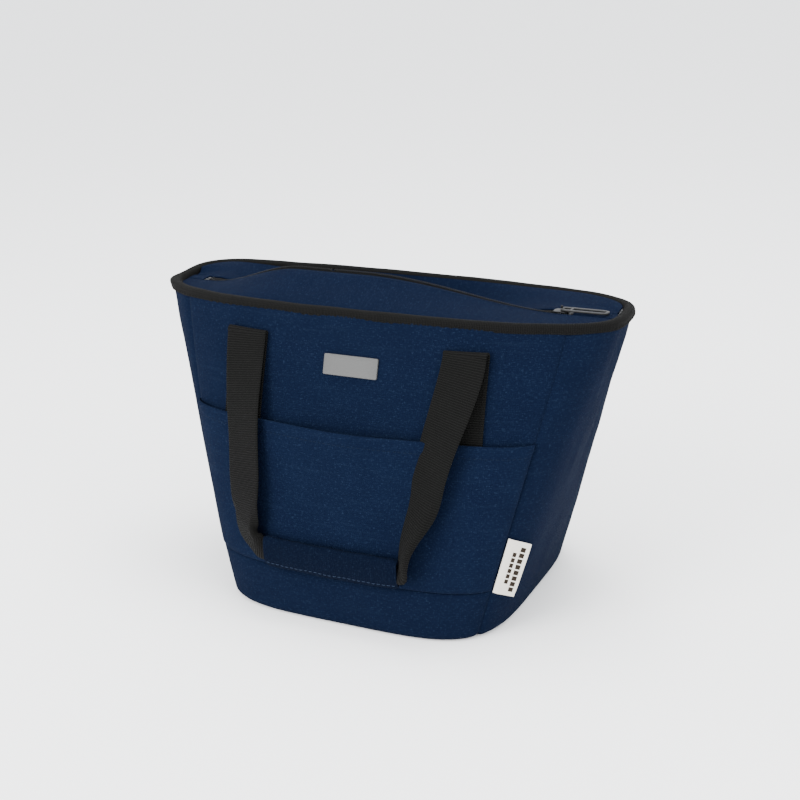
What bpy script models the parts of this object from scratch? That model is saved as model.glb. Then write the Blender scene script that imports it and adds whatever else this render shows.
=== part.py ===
"""Insulated cooler bag: a flared tote of canvas, foam and lining, with a zipped top, a front pocket and two
webbing handles. Metres, +Z up, the front faces -Y, and the base's middle is the origin."""

import math

import bmesh
import bpy
from mathutils import Matrix, Vector

mm = 0.001

# ---- body: a superellipse at the base runs up to another at the rim ----
topHalfWidth = 170 * mm
topHalfDepth = 50 * mm
topPower = 2.8
baseHalfWidth = 106 * mm
baseHalfDepth = 97 * mm
basePower = 4.3
bodyHeight = 208 * mm
depthPower = 1.57  # how late the front and back lean in
footRadius = 5 * mm
seamAngle = math.radians(38.5)  # of the four upright seams, from +X

# ---- layers ----
gap = 0.4 * mm
canvas = 0.9 * mm
foam = 3.0 * mm
baseFoam = 4.0 * mm
board = 1.5 * mm
liningSheet = 0.4 * mm
bindingSheet = 0.8 * mm
bindingHeight = 5.7 * mm
binderClear = 0.3 * mm

# ---- front pocket ----
hemDrop = 72 * mm  # of the pocket's hem below the rim
hemHeight = bodyHeight - hemDrop
pocketFoot = 36 * mm
pocketGape = 11.0 * mm
gapeHalfWidth = 62 * mm
pocketEase = 14 * mm  # how far in from its side seams the pocket stands fully off
facingHeight = 11 * mm
facingSheet = 0.5 * mm

# ---- handles ----
webWidth = 30 * mm
webSheet = 1.6 * mm
anchorX = 81 * mm
foldDrop = 17 * mm  # of the straps' fold below the rim
foldHeight = bodyHeight - foldDrop
anchorTuck = 12 * mm  # how far the sewn straps run into the pocket
anchorFoot = hemHeight - anchorTuck
gripHeight = 50 * mm
gripHalfLength = 51 * mm
gripShift = -3 * mm
gripWeb = 18 * mm
leftTaper = (0.7, 1.0)  # where each leg narrows, as shares of its height
rightTaper = (0.5, 0.95)
legRush = 0.85  # below 1, the legs lean in early
leftCorner = 17 * mm  # the strap's turn into the grip, at each end
rightCorner = 10 * mm
wrapSheet = 1.2 * mm
wrapClear = 0.4 * mm
handleClear = 3.0 * mm  # from the pocket's cloth to the middle of the hanging strap

# ---- top: two flaps and the zip between them ----
zipRight = 125 * mm
zipLeft = -141 * mm
flapRaised = math.radians(24)
flapSunk = math.radians(55)
mouthRight = -15 * mm
mouthLeft = -65 * mm
flapRootClear = 2.0 * mm
flapCornerCut = 2.4 * mm  # how far short of the rim's ends the flaps' cloth stops
tabEndCut = 6.4 * mm
tapeSheet = 0.5 * mm
tapeWidth = 7.0 * mm
toothWidth = 2.2 * mm
toothHeight = 2.0 * mm
toothClear = 0.5 * mm
zipDrop = 1.0 * mm
tabHalfWidth = 4.6 * mm
sliderLength = 10 * mm
sliderWidth = 8 * mm
sliderPlate = 0.8 * mm
sliderSlot = 2.8 * mm
pullerLength = 32 * mm
pullerWidth = 8 * mm
pullerSheet = 1.4 * mm
bailWire = 0.55 * mm

# ---- trim ----
plateWidth = 40 * mm
plateTall = 14 * mm
plateSheet = 1.2 * mm
plateDrop = 32 * mm
plateClear = 0.15 * mm  # more than the gap, since the panel bends a little behind the plate
plateHeight = bodyHeight - plateDrop
labelWidth = 17 * mm
labelTall = 38 * mm
labelSheet = 0.5 * mm
labelFoot = 35 * mm
labelStep = math.radians(2)

navy = (0.012, 0.022, 0.050)
black = (0.018, 0.018, 0.018)

for old in list(bpy.data.objects):
    bpy.data.objects.remove(old, do_unlink=True)
bag = bpy.data.collections.new("insulated_cooler_bag")
bpy.context.scene.collection.children.link(bag)
cutters = bpy.data.collections.new("cutters")
bpy.context.scene.collection.children.link(cutters)


def paint(obj, color, roughness, metallic=0.0):
    material = bpy.data.materials.new(obj.name)
    material.use_nodes = True
    shader = material.node_tree.nodes["Principled BSDF"]
    shader.inputs["Base Color"].default_value = (*color, 1)
    shader.inputs["Roughness"].default_value = roughness
    shader.inputs["Metallic"].default_value = metallic
    obj.data.materials.clear()
    obj.data.materials.append(material)


def add(name, mesh, color, roughness=0.9, metallic=0.0):
    obj = bpy.data.objects.new(name, mesh)
    bag.objects.link(obj)
    paint(obj, color, roughness, metallic)
    return obj


def loft(name, rows, color, closeRows=False, closeColumns=False, caps=False, back=None, **look):
    """A surface through rows of points, joined round either way, with its end rows filled if caps is set.

    A twisted sheet gives the column where its second side starts as back. Its cells are then cut into
    triangles along the same diagonals on both sides, so that the sides never cross.
    """
    high, wide = len(rows), len(rows[0])
    shape = bmesh.new()
    grid = [[shape.verts.new(point) for point in row] for row in rows]
    for r in range(high if closeRows else high - 1):
        for c in range(wide if closeColumns else wide - 1):
            below, above = grid[r], grid[(r + 1) % high]
            nxt = (c + 1) % wide
            cell = (below[c], below[nxt], above[nxt], above[c])
            if back is None:
                shape.faces.new(cell)
            elif c < back:
                shape.faces.new((cell[0], cell[1], cell[2]))
                shape.faces.new((cell[0], cell[2], cell[3]))
            else:
                shape.faces.new((cell[0], cell[1], cell[3]))
                shape.faces.new((cell[1], cell[2], cell[3]))
    if caps:
        shape.faces.new(grid[0][::-1])
        shape.faces.new(grid[-1])
    if caps or (closeRows and closeColumns):
        bmesh.ops.recalc_face_normals(shape, faces=shape.faces)
    mesh = bpy.data.meshes.new(name)
    shape.to_mesh(mesh)
    shape.free()
    return add(name, mesh, color, **look)


def thicken(obj, thickness, inward=True):
    solid = obj.modifiers.new("thickness", "SOLIDIFY")
    solid.thickness = thickness
    solid.offset = -1 if inward else 1
    solid.use_even_offset = True
    return obj


def hang(obj, x, y, z):
    """Puts the object's origin on its joint's axis and leaves its shape where it is."""
    obj.data.transform(Matrix.Translation((-x, -y, -z)))
    obj.location = (x, y, z)
    return obj


# ---- the body's surface ----


def section(height):
    """Half width, half depth and power of the body's outline at a height."""
    t = height / bodyHeight
    late = t**depthPower if t > 0 else 0
    foot = 0.0
    if height < footRadius:
        foot = footRadius - math.sqrt(footRadius**2 - (footRadius - height) ** 2)
    return (
        baseHalfWidth + (topHalfWidth - baseHalfWidth) * t - foot,
        baseHalfDepth + (topHalfDepth - baseHalfDepth) * late - foot,
        basePower + (topPower - basePower) * t,
    )


sideLean = (topHalfWidth - baseHalfWidth) / bodyHeight
sideStretch = math.sqrt(1 + sideLean**2)  # level thickness of a leaning side, for each unit across it


def wall(angle, height, inset=0.0):
    """A point of the body's surface, moved in by inset."""
    a, b, n = section(height)
    c, s = math.cos(angle), math.sin(angle)
    x = math.copysign(abs(c) ** (2 / n), c) * (a - inset * sideStretch)
    y = math.copysign(abs(s) ** (2 / n), s) * (b - inset)
    return Vector((x, y, height))


def edgeRise(thickness):
    """How far the inner top edge of a leaning sheet stands above its outer one."""
    return thickness * sideLean


def angleAt(x, height):
    """The angle on the front at which the surface has this x."""
    a, _, n = section(height)
    return -math.acos(math.copysign(abs(x / a) ** (n / 2), x))


def frontAt(x, height, out=0.0):
    """A point of the front at this x and height, moved forward by out."""
    point = wall(angleAt(x, height), height)
    return Vector((x, point.y - out, height))


def spread(low, high, count):
    return [low + (high - low) * k / (count - 1) for k in range(count)]


boardLow = canvas + gap
boardHigh = boardLow + board
baseFoamLow = boardHigh + gap
baseFoamHigh = baseFoamLow + baseFoam
wallFoamLow = baseFoamHigh + gap
footRows = [footRadius * (1 - math.cos(math.radians(a))) for a in (0, 30, 60, 90)]
lowRows = sorted(footRows + [wallFoamLow])
upperRows = spread(pocketFoot, bodyHeight - edgeRise(canvas), 7)
panelColumns = 11
seamClear = math.radians(0.35)
foamClear = math.radians(1.3)  # more, because the edges of thick foam meet at a mitre
frontSpan = (-math.pi + seamAngle + seamClear, -seamAngle - seamClear)
backSpan = (seamAngle + seamClear, math.pi - seamAngle - seamClear)
rightSpan = (-seamAngle + seamClear, seamAngle - seamClear)
leftSpan = (math.pi - seamAngle + seamClear, math.pi + seamAngle - seamClear)


def panel(name, span, heights, inset, thickness, color, **look):
    angles = spread(*span, panelColumns)
    rows = [[wall(a, h, inset) for a in angles] for h in heights]
    return thicken(loft(name, rows, color, **look), thickness)


# ---- shell ----
bandTop = pocketFoot - gap
panel("front_panel", frontSpan, upperRows, 0, canvas, navy)
panel("front_lower_band", frontSpan, lowRows + [bandTop], 0, canvas, navy)
fullRows = lowRows + upperRows
panel("back_panel", backSpan, fullRows, 0, canvas, navy)
panel("right_gusset", rightSpan, fullRows, 0, canvas, navy)
panel("left_gusset", leftSpan, fullRows, 0, canvas, navy)


def plate(name, low, high, inset, outlineHeight, color, **look):
    """A flat piece of the body's outline, between two heights."""
    angles = spread(0, 2 * math.pi, 49)[:-1]
    outline = [wall(a, outlineHeight, inset) for a in angles]
    rows = [[Vector((p.x, p.y, h)) for p in outline] for h in (low, high)]
    return loft(name, rows, color, closeColumns=True, caps=True, **look)


foamInset = canvas + gap
liningInset = foamInset + foam + gap
stackDepth = liningInset + liningSheet

plate("base_panel", 0, canvas, 2 * gap, 0, navy)
plate("base_board", boardLow, boardHigh, 2 * gap, 0, (0.05, 0.05, 0.05), roughness=0.6)
plate("foam_base", baseFoamLow, baseFoamHigh, canvas + gap, footRows[1], (0.85, 0.85, 0.82))

innerRows = [h for h in lowRows if h >= wallFoamLow] + upperRows
foamTop = bodyHeight - edgeRise(foam) - gap
foamRows = innerRows[:-1] + [foamTop]
sideSpans = {"right": rightSpan, "back": backSpan, "left": leftSpan, "front": frontSpan}
for side, (first, last) in sideSpans.items():
    edges = (first + foamClear, last - foamClear)
    panel(f"foam_{side}", edges, foamRows, foamInset, foam, (0.85, 0.85, 0.82))


roundAngles = [a for span in sideSpans.values() for a in spread(*span, panelColumns)]


def makeLining():
    rows = [[wall(a, h, liningInset) for a in roundAngles] for h in innerRows]
    lining = loft("lining", rows, (0.55, 0.56, 0.57), closeColumns=True, roughness=0.35)
    shape = bmesh.new()
    shape.from_mesh(lining.data)
    rim = [e for e in shape.edges if e.is_boundary and e.verts[0].co.z < (wallFoamLow + pocketFoot) / 2]
    floor = bmesh.ops.contextual_create(shape, geom=rim)["faces"][0]
    if floor.normal.z > 0:
        floor.normal_flip()
    shape.to_mesh(lining.data)
    shape.free()
    thicken(lining, liningSheet)


makeLining()


def makeBinding():
    """A U of tape over the rim: out, up, over, down inside."""
    outFace = -(binderClear + bindingSheet)
    inFace = stackDepth + binderClear + bindingSheet
    top = bodyHeight + binderClear + bindingSheet
    low = top - bindingHeight
    outline = [
        (outFace, low),
        (outFace, top),
        (inFace, top),
        (inFace, low),
        (inFace - bindingSheet, low),
        (inFace - bindingSheet, top - bindingSheet),
        (outFace + bindingSheet, top - bindingSheet),
        (outFace + bindingSheet, low),
    ]
    rows = []
    for angle in roundAngles:
        row = []
        for inset, height in outline:
            point = wall(angle, min(height, bodyHeight), inset)
            row.append(Vector((point.x, point.y, height)))
        rows.append(row)
    loft("rim_binding", rows, black, closeRows=True, closeColumns=True)
    return inFace


rimInset = makeBinding()


# ---- front pocket ----


def pocketHalfWidth(height):
    return wall(frontSpan[1], height).x


def gape(x, height):
    """How far the pocket's cloth stands off the front panel."""
    up = max(0, (height - pocketFoot) / (hemHeight - pocketFoot))
    under = min(1, up * (hemHeight - pocketFoot) / (anchorFoot - pocketFoot - 6 * mm))
    over = webSheet + 2 * gap + facingSheet  # room for the sewn straps and the hem under the mouth
    side = math.cos(math.pi / 2 * min(1, abs(x) / gapeHalfWidth)) ** 2
    ends = max(0, min(1, (pocketHalfWidth(height) - abs(x)) / pocketEase))
    return gap + under * over * math.sqrt(ends) + up**1.5 * pocketGape * side


def makePocket():
    angles = spread(*frontSpan, 25)
    inner = []
    for height in spread(pocketFoot, hemHeight, 8):
        row = []
        for angle in angles:
            point = wall(angle, height)
            out = gape(point.x, height)
            row.append(Vector((point.x, point.y - out, height)))
        inner.append(row)
    thicken(loft("front_pocket", inner, navy), canvas, inward=False)
    facing = []
    for height in spread(hemHeight - facingHeight, hemHeight, 3):
        row = []
        for angle in angles[3:-3]:
            point = wall(angle, height)
            out = gape(point.x, height) - gap - facingSheet
            row.append(Vector((point.x, point.y - out, height)))
        facing.append(row)
    thicken(loft("pocket_hem", facing, navy), facingSheet, inward=False)


makePocket()


# ---- handles, and the sewn straps they fold out of ----


def mirrored(points, front):
    return points if front else [Vector((p.x, -p.y, p.z)) for p in points]


foldOut = webSheet + 2 * gap + webSheet / 2 + 0.5 * mm  # the hinge stands this far off the panel
innerEdge = anchorX - webWidth / 2
foldY = -frontAt(innerEdge, foldHeight).y + foldOut


def makeAnchor(name, x, front):
    """A flat strap sewn up the panel, from inside the pocket to the fold."""
    across = spread(x - webWidth / 2, x + webWidth / 2, 5)
    rows = []
    for height in spread(anchorFoot, foldHeight - gap, 6):
        inside = [frontAt(at, height, gap) for at in across]
        outside = [frontAt(at, height, gap + webSheet) for at in across[::-1]]
        rows.append(mirrored(inside + outside, front))
    loft(name, rows, black, closeColumns=True, caps=True)


def smooth(share):
    share = max(0, min(1, share))
    return share * share * (3 - 2 * share)


def strapY(height):
    """Where the middle of the hanging strap lies, a little off the pocket."""
    full = gap + webSheet + 3 * gap + facingSheet + canvas + handleClear
    out = foldOut + (full - foldOut) * smooth((foldHeight - height) / (foldHeight - hemHeight))
    inward = 1 - smooth((foldHeight - height) / (foldHeight - gripHeight - leftCorner))
    return frontAt(innerEdge * inward, height).y - out


def handlePath():
    """(x, height, turn, width) down one leg, round the corner, along the grip and up the other leg."""
    path = []
    for sign, corner, taper in ((-1, leftCorner, leftTaper), (1, rightCorner, rightTaper)):
        gripEnd = gripShift + sign * gripHalfLength
        cornerX = gripEnd + sign * corner
        leg = []
        for height in spread(foldHeight, gripHeight + corner, 8):
            share = (foldHeight - height) / (foldHeight - gripHeight - corner)
            x = sign * anchorX + (cornerX - sign * anchorX) * smooth(share**legRush)
            narrow = smooth((share - taper[0]) / (taper[1] - taper[0]))
            leg.append((x, height, 0.0 if sign < 0 else math.pi, webWidth + (gripWeb - webWidth) * narrow))
        for turn in (22.5, 45, 67.5, 90):
            bend = math.radians(turn)
            x = cornerX - sign * corner * (1 - math.cos(bend))
            height = gripHeight + corner * (1 - math.sin(bend))
            leg.append((x, height, bend if sign < 0 else math.pi - bend, gripWeb))
        path.append(leg)
    return path[0] + path[1][::-1]


def makeHandle(side, front):
    rows = []
    for x, height, turn, width in handlePath():
        across = Vector((math.cos(turn), 0, math.sin(turn)))
        middle = Vector((x, strapY(height), height))
        away = Vector((0, -webSheet / 2, 0))
        edge = across * (width / 2)
        rows.append(mirrored([middle - edge - away, middle + edge - away, middle + edge + away,
                              middle - edge + away], front))
    hinge = (0, -foldY if front else foldY, foldHeight)
    hang(loft(f"{side}_handle_webbing", rows, black, closeColumns=True, caps=True), *hinge)
    middleY = strapY(gripHeight)
    innerTall, innerThick = gripWeb / 2 + wrapClear, webSheet / 2 + wrapClear
    halfLength = gripHalfLength - gap
    sections = []
    for up, out in ((-1, -1), (1, -1), (1, 1), (-1, 1)):
        outer = (up * (innerTall + wrapSheet), out * (innerThick + wrapSheet))
        inner = (up * innerTall, out * innerThick)
        ring = [(-1, outer), (1, outer), (1, inner), (-1, inner)]
        points = [
            Vector((gripShift + along * halfLength, middleY + offset[1], gripHeight + offset[0]))
            for along, offset in ring
        ]
        sections.append(mirrored(points, front))
    hang(loft(f"{side}_grip_wrap", sections, navy, closeRows=True, closeColumns=True), *hinge)


for side, front in (("front", True), ("rear", False)):
    makeAnchor(f"{side}_anchor_left", -anchorX, front)
    makeAnchor(f"{side}_anchor_right", anchorX, front)
    makeHandle(side, front)


# ---- top flaps and zip ----

zipHeight = bodyHeight - zipDrop
flapHingeY = topHalfDepth - rimInset
flapEnd = topHalfWidth - rimInset - flapRootClear
zipColumns = spread(zipLeft - sliderLength / 2, zipRight + sliderLength / 2, 40)


def mouth(x):
    """How open the top is at x: 1 in the middle of the mouth, 0 at the ends of the zip."""
    if x > mouthRight:
        share = (zipRight - x) / (zipRight - mouthRight)
    elif x < mouthLeft:
        share = (x - zipLeft) / (mouthLeft - zipLeft)
    else:
        share = 1
    return smooth(share)


def flapPoint(front, x, fromMiddle, lift):
    """A point of a closed flap, fromMiddle off the zip line and lift above it, swung to the open place."""
    angle = mouth(x) * (flapRaised if front else -flapSunk)
    along = flapHingeY - fromMiddle
    y = -flapHingeY + along * math.cos(angle) - lift * math.sin(angle)
    z = zipHeight + along * math.sin(angle) + lift * math.cos(angle)
    return Vector((x, y if front else -y, z))


def rimHalfDepth(x):
    """Half depth of the mouth inside the binding, less the flap's clearance, at x."""
    a = topHalfWidth - rimInset - flapRootClear
    b = topHalfDepth - rimInset - flapRootClear
    return b * max(0, 1 - abs(x / a) ** topPower) ** (1 / topPower)


def makeFlapSheet(name, front, low, high, innerEdge, color, ends, **look):
    """A flap's layer between two lifts, from its inner edge to the rim."""
    rows = []
    for x in spread(-ends, zipColumns[0], 3)[:-1] + zipColumns + spread(zipColumns[-1], ends, 5)[1:]:
        root = rimHalfDepth(x)
        steps = spread(innerEdge, max(root, innerEdge + 1 * mm), 6)
        section = [flapPoint(front, x, s, low) for s in steps]
        section += [flapPoint(front, x, s, high) for s in steps[::-1]]
        rows.append(section)
    loft(name, rows, color, closeColumns=True, caps=True, back=len(steps), **look)


def makeZipStrip(name, front, inner, outer, low, high, color, **look):
    """A strip along the zip, between two distances from its line and two lifts."""
    rows = []
    for x in zipColumns:
        corners = ((inner, low), (outer, low), (outer, high), (inner, high))
        rows.append([flapPoint(front, x, s, lift) for s, lift in corners])
    hang(loft(name, rows, color, closeColumns=True, caps=True, back=2, **look), 0,
         -flapHingeY if front else flapHingeY, zipHeight)


flapEdge = tabHalfWidth + gap
tapeHalf = tapeSheet / 2
for side, front in (("front", True), ("rear", False)):
    hingeY = -flapHingeY if front else flapHingeY
    ends = flapEnd - flapCornerCut
    makeFlapSheet(f"{side}_flap", front, tapeHalf + gap, tapeHalf + gap + canvas, flapEdge, navy, ends)
    makeFlapSheet(f"{side}_flap_lining", front, -tapeHalf - gap - liningSheet, -tapeHalf - gap,
                  flapEdge, (0.55, 0.56, 0.57), ends, roughness=0.35)
    for name in (f"{side}_flap", f"{side}_flap_lining"):
        hang(bpy.data.objects[name], 0, hingeY, zipHeight)
    teethEnd = toothClear + toothWidth
    makeZipStrip(f"{side}_zip_tape", front, teethEnd + gap, teethEnd + tapeWidth, -tapeHalf, tapeHalf, black)
    makeZipStrip(f"{side}_zip_teeth", front, toothClear, teethEnd, -toothHeight / 2, toothHeight / 2, black,
                 roughness=0.4)


def block(name, size, middle, color, **look):
    shape = bmesh.new()
    bmesh.ops.create_cube(shape, size=1)
    bmesh.ops.scale(shape, vec=size, verts=shape.verts)
    bmesh.ops.translate(shape, vec=middle, verts=shape.verts)
    mesh = bpy.data.meshes.new(name)
    shape.to_mesh(mesh)
    shape.free()
    return add(name, mesh, color, **look)


stripEnd = sliderLength / 2 + gap
stopLength = 3 * mm
stopWidth = 2 * (toothClear + toothWidth)
rightStop = zipRight + stripEnd + stopLength / 2
leftStop = zipLeft - stripEnd - stopLength / 2
stopSize = (stopLength, stopWidth, toothHeight)
block("zip_bottom_stop", stopSize, (rightStop, 0, zipHeight), (0.3, 0.3, 0.31), roughness=0.35, metallic=1)
topStopSize = (stopLength, toothWidth, toothHeight)
for side, sign in (("front", -1), ("rear", 1)):
    middle = (leftStop, sign * (toothClear + toothWidth / 2), zipHeight)
    block(f"zip_top_stop_{side}", topStopSize, middle, (0.3, 0.3, 0.31), roughness=0.35, metallic=1)

tabLift = tapeHalf + gap + canvas / 2
for side, sign, start in (("right", 1, rightStop), ("left", -1, leftStop)):
    near = abs(start) + stopLength / 2 + gap
    far = flapEnd - tabEndCut
    size = (far - near, 2 * tabHalfWidth, canvas)
    block(f"zip_tab_{side}", size, (sign * (near + far) / 2, 0, zipHeight + tabLift), navy)


# ---- slider and puller ----


def join(target, other):
    """Joins a cutter into the target with a Boolean."""
    for collection in list(other.users_collection):
        collection.objects.unlink(other)
    cutters.objects.link(other)
    other.hide_render = True
    other.display_type = "WIRE"
    union = target.modifiers.new("join", "BOOLEAN")
    union.operation = "UNION"
    union.solver = "EXACT"
    union.object = other


steel = (0.22, 0.22, 0.23)
plateLift = sliderSlot / 2 + sliderPlate / 2
neckLength = 2 * mm
plateSize = (sliderLength, sliderWidth, sliderPlate)
slider = block("slider_body", plateSize, (zipRight, 0, zipHeight + plateLift), steel, roughness=0.35,
               metallic=1)
under = block("slider_under", plateSize, (zipRight, 0, zipHeight - plateLift), steel)
neckWidth = 2 * (toothClear - gap / 2)
neckMiddle = zipRight - sliderLength / 2 + neckLength / 2
neckSize = (neckLength, neckWidth, sliderSlot + sliderPlate)
neck = block("slider_neck", neckSize, (neckMiddle, 0, zipHeight), steel)
join(slider, under)
join(slider, neck)

plateTop = zipHeight + sliderSlot / 2 + sliderPlate
barHalf = pullerSheet / 2
axisLift = 1.45 * mm
pullerAxis = Vector((zipRight + 0.5 * mm, 0, plateTop + axisLift))
bailHalf = 2.6 * mm
bailRise = 1.5 * mm


def makeBail():
    curve = bpy.data.curves.new("slider_bail", "CURVE")
    curve.dimensions = "3D"
    curve.bevel_depth = bailWire
    curve.bevel_resolution = 2
    curve.use_fill_caps = True
    spline = curve.splines.new("POLY")
    foot = plateTop + gap
    top = pullerAxis.z + bailRise
    corner = 1.2 * mm
    points = [(-bailHalf, foot), (-bailHalf, top - corner), (-bailHalf + corner, top)]
    points += [(-x, z) for x, z in points[::-1]]
    spline.points.add(len(points) - 1)
    for point, (x, z) in zip(spline.points, points):
        point.co = (pullerAxis.x + x, 0, z, 1)
    bail = bpy.data.objects.new("slider_bail", curve)
    bag.objects.link(bail)
    paint(bail, steel, 0.35, 1)


makeBail()


def rounded(curve, low, high, halfWidth, corner):
    """Adds a closed outline with rounded corners to a flat curve."""
    points = []
    corners = ((high, halfWidth), (low, halfWidth), (low, -halfWidth), (high, -halfWidth))
    for (x, y), start in zip(corners, (0, 90, 180, 270)):
        middleX = x - math.copysign(corner, x - (low + high) / 2)
        middleY = y - math.copysign(corner, y)
        for turn in (0, 30, 60, 90):
            a = math.radians(start + turn)
            points.append((middleX + corner * math.cos(a), middleY + corner * math.sin(a)))
    spline = curve.splines.new("POLY")
    spline.points.add(len(points) - 1)
    for point, (x, y) in zip(spline.points, points):
        point.co = (x, y, 0, 1)
    spline.use_cyclic_u = True


def makePuller():
    curve = bpy.data.curves.new("zip_puller", "CURVE")
    curve.dimensions = "2D"
    curve.fill_mode = "BOTH"
    curve.extrude = pullerSheet / 2
    rounded(curve, -barHalf, pullerLength, pullerWidth / 2, 2.0 * mm)
    rounded(curve, barHalf, bailHalf + bailWire + 3 * mm, 2.0 * mm, 0.8 * mm)
    rounded(curve, 11 * mm, pullerLength - 3 * mm, 1.5 * mm, 1.2 * mm)
    puller = bpy.data.objects.new("zip_puller", curve)
    bag.objects.link(puller)
    droop = (axisLift + plateTop - zipHeight - tabLift - canvas / 2 - barHalf - gap) / pullerLength
    puller.location = pullerAxis
    puller.rotation_euler = (0, math.asin(droop), 0)
    paint(puller, steel, 0.3, 1)


makePuller()


# ---- trim ----


def makeBadge():
    """A metal plate flat on the front panel."""
    low = frontAt(0, plateHeight - plateTall / 2)
    high = frontAt(0, plateHeight + plateTall / 2)
    lean = math.atan2(high.y - low.y, high.z - low.z)
    out = gap + plateSheet / 2 + plateClear
    badge = block("badge_plate", (plateWidth, plateSheet, plateTall), (0, 0, 0), (0.23, 0.23, 0.23),
                  roughness=0.4, metallic=1)
    badge.location = (low + high) / 2 + Vector((0, -out * math.cos(lean), out * math.sin(lean)))
    badge.rotation_euler = (-lean, 0, 0)


makeBadge()


def makeLabel():
    """A cotton tab from the front right seam, flat on the gusset."""
    rows = []
    for height in spread(labelFoot, labelFoot + labelTall, 5):
        start = -seamAngle + seamClear
        row = []
        previous = wall(start, height)
        walked = 0.0
        angle = start
        while walked < labelWidth:
            row.append(previous)
            angle += labelStep
            point = wall(angle, height)
            walked += (point - previous).length
            previous = point
        rows.append(row)
    count = min(len(row) for row in rows)
    rows = [row[:count] for row in rows]
    outward = []
    for row in rows:
        line = []
        for point in row:
            away = Vector((point.x / section(point.z)[0], point.y / section(point.z)[1], 0)).normalized()
            line.append(point + away * (gap + 0.1 * mm))
        outward.append(line)
    thicken(loft("side_label", outward, (0.72, 0.70, 0.66)), labelSheet, inward=False)


makeLabel()
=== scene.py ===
import math

import bpy
import numpy as np
from mathutils import Matrix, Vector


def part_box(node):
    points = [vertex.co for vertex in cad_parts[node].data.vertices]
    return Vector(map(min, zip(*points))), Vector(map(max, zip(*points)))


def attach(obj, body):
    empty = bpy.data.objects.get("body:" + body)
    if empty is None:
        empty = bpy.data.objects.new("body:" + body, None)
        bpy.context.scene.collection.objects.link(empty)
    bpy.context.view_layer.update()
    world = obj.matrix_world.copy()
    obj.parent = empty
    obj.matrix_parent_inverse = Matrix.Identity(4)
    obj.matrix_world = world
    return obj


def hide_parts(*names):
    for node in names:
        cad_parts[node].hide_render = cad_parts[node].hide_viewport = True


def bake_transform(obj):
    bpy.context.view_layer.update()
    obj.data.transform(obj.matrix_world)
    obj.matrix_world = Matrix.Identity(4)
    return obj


# An insulated cooler bag: a flared canvas tote with a zipped top, a front pocket and two webbing handles.
# Every length is in metres and the bag stands on z = 0, with its front towards -Y.

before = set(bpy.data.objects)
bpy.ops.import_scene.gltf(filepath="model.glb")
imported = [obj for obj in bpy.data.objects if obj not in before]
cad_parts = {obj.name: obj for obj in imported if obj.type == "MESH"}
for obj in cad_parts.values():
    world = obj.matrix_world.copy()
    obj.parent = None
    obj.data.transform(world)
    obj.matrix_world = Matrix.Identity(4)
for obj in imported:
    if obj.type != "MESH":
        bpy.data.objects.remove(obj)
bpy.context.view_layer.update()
mm = 0.001
print("frame loaded:", len(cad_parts), "parts")


# Camera, light and floor

shot = {
    "lens": 63.85,  # millimetres, as the sensor is
    "sensor": 36,
    "distance": 1010.47 * mm,
    "target": (0, 0, 120 * mm),
    "turn": 26.75,  # degrees round the bag, towards its right side
    "drop": 20.74,  # degrees that the camera looks down
    "roll": -2.45,
    "shift": (0.0067, 0.0183),
    "sees": (0.05, 20),  # nearest and farthest, in metres
}
studio = {
    "floor": (0.97, 0.97, 0.965),
    "floorHalf": 6.0,
    "floorSheet": 0.05,
    "world": (0.95, 0.97, 1.0),
    "worldStrength": 2.7,
    "aim": (0, 0, 0.11),
    # name: (place, width, power)
    "lamps": {
        "key": ((-0.75, -1.35, 0.95), 1.1, 34),
        "lowFill": ((-0.45, -1.5, 0.16), 0.8, 14),
        "side": ((1.5, -0.35, 0.75), 0.9, 17),
        "top": ((0.1, 0.25, 1.6), 0.9, 20),
    },
}


def unit(v):
    return v / np.maximum(np.linalg.norm(v, axis=-1, keepdims=True), 1e-12)


def stand(name, data, directions, place):
    # directions are the object's own right, up and backward
    holder = bpy.data.objects.new(name, data)
    bpy.context.scene.collection.objects.link(holder)
    turned = np.eye(4)
    turned[:3, :3] = np.stack(directions, 1)
    turned[:3, 3] = place
    holder.matrix_world = Matrix(turned.tolist())
    return holder


def makeCamera():
    # the three directions of the view, first without the roll: right, up and into the scene
    turn, drop, roll = (math.radians(shot[k]) for k in ("turn", "drop", "roll"))
    right = np.array([math.cos(turn), math.sin(turn), 0])
    into = np.array([-math.sin(turn) * math.cos(drop), math.cos(turn) * math.cos(drop), -math.sin(drop)])
    up = np.cross(right, into)
    level = math.cos(roll) * right + math.sin(roll) * up
    upright = -math.sin(roll) * right + math.cos(roll) * up
    lens = bpy.data.cameras.new("camera")
    lens.lens = shot["lens"]
    lens.sensor_width = shot["sensor"]
    lens.shift_x, lens.shift_y = shot["shift"]
    lens.clip_start, lens.clip_end = shot["sees"]
    place = np.array(shot["target"]) - into * shot["distance"]
    bpy.context.scene.camera = stand("camera", lens, (level, upright, -into), place)


def makeLamps():
    for name, (place, width, power) in studio["lamps"].items():
        lamp = bpy.data.lights.new(name, "AREA")
        lamp.shape = "DISK"
        lamp.size = width
        lamp.energy = power
        away = unit(np.array(place) - np.array(studio["aim"]))
        sideways = unit(np.cross([0, 0, 1], away))
        stand(name, lamp, (sideways, np.cross(away, sideways), away), place)
    world = bpy.data.worlds.new("studio")
    world.use_nodes = True
    background = world.node_tree.nodes["Background"]
    background.inputs["Color"].default_value = (*studio["world"], 1)
    background.inputs["Strength"].default_value = studio["worldStrength"]
    bpy.context.scene.world = world


makeCamera()
makeLamps()
print("camera and lamps placed")


# Shader maths: a Strand is one socket, and sums on strands add the nodes


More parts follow.
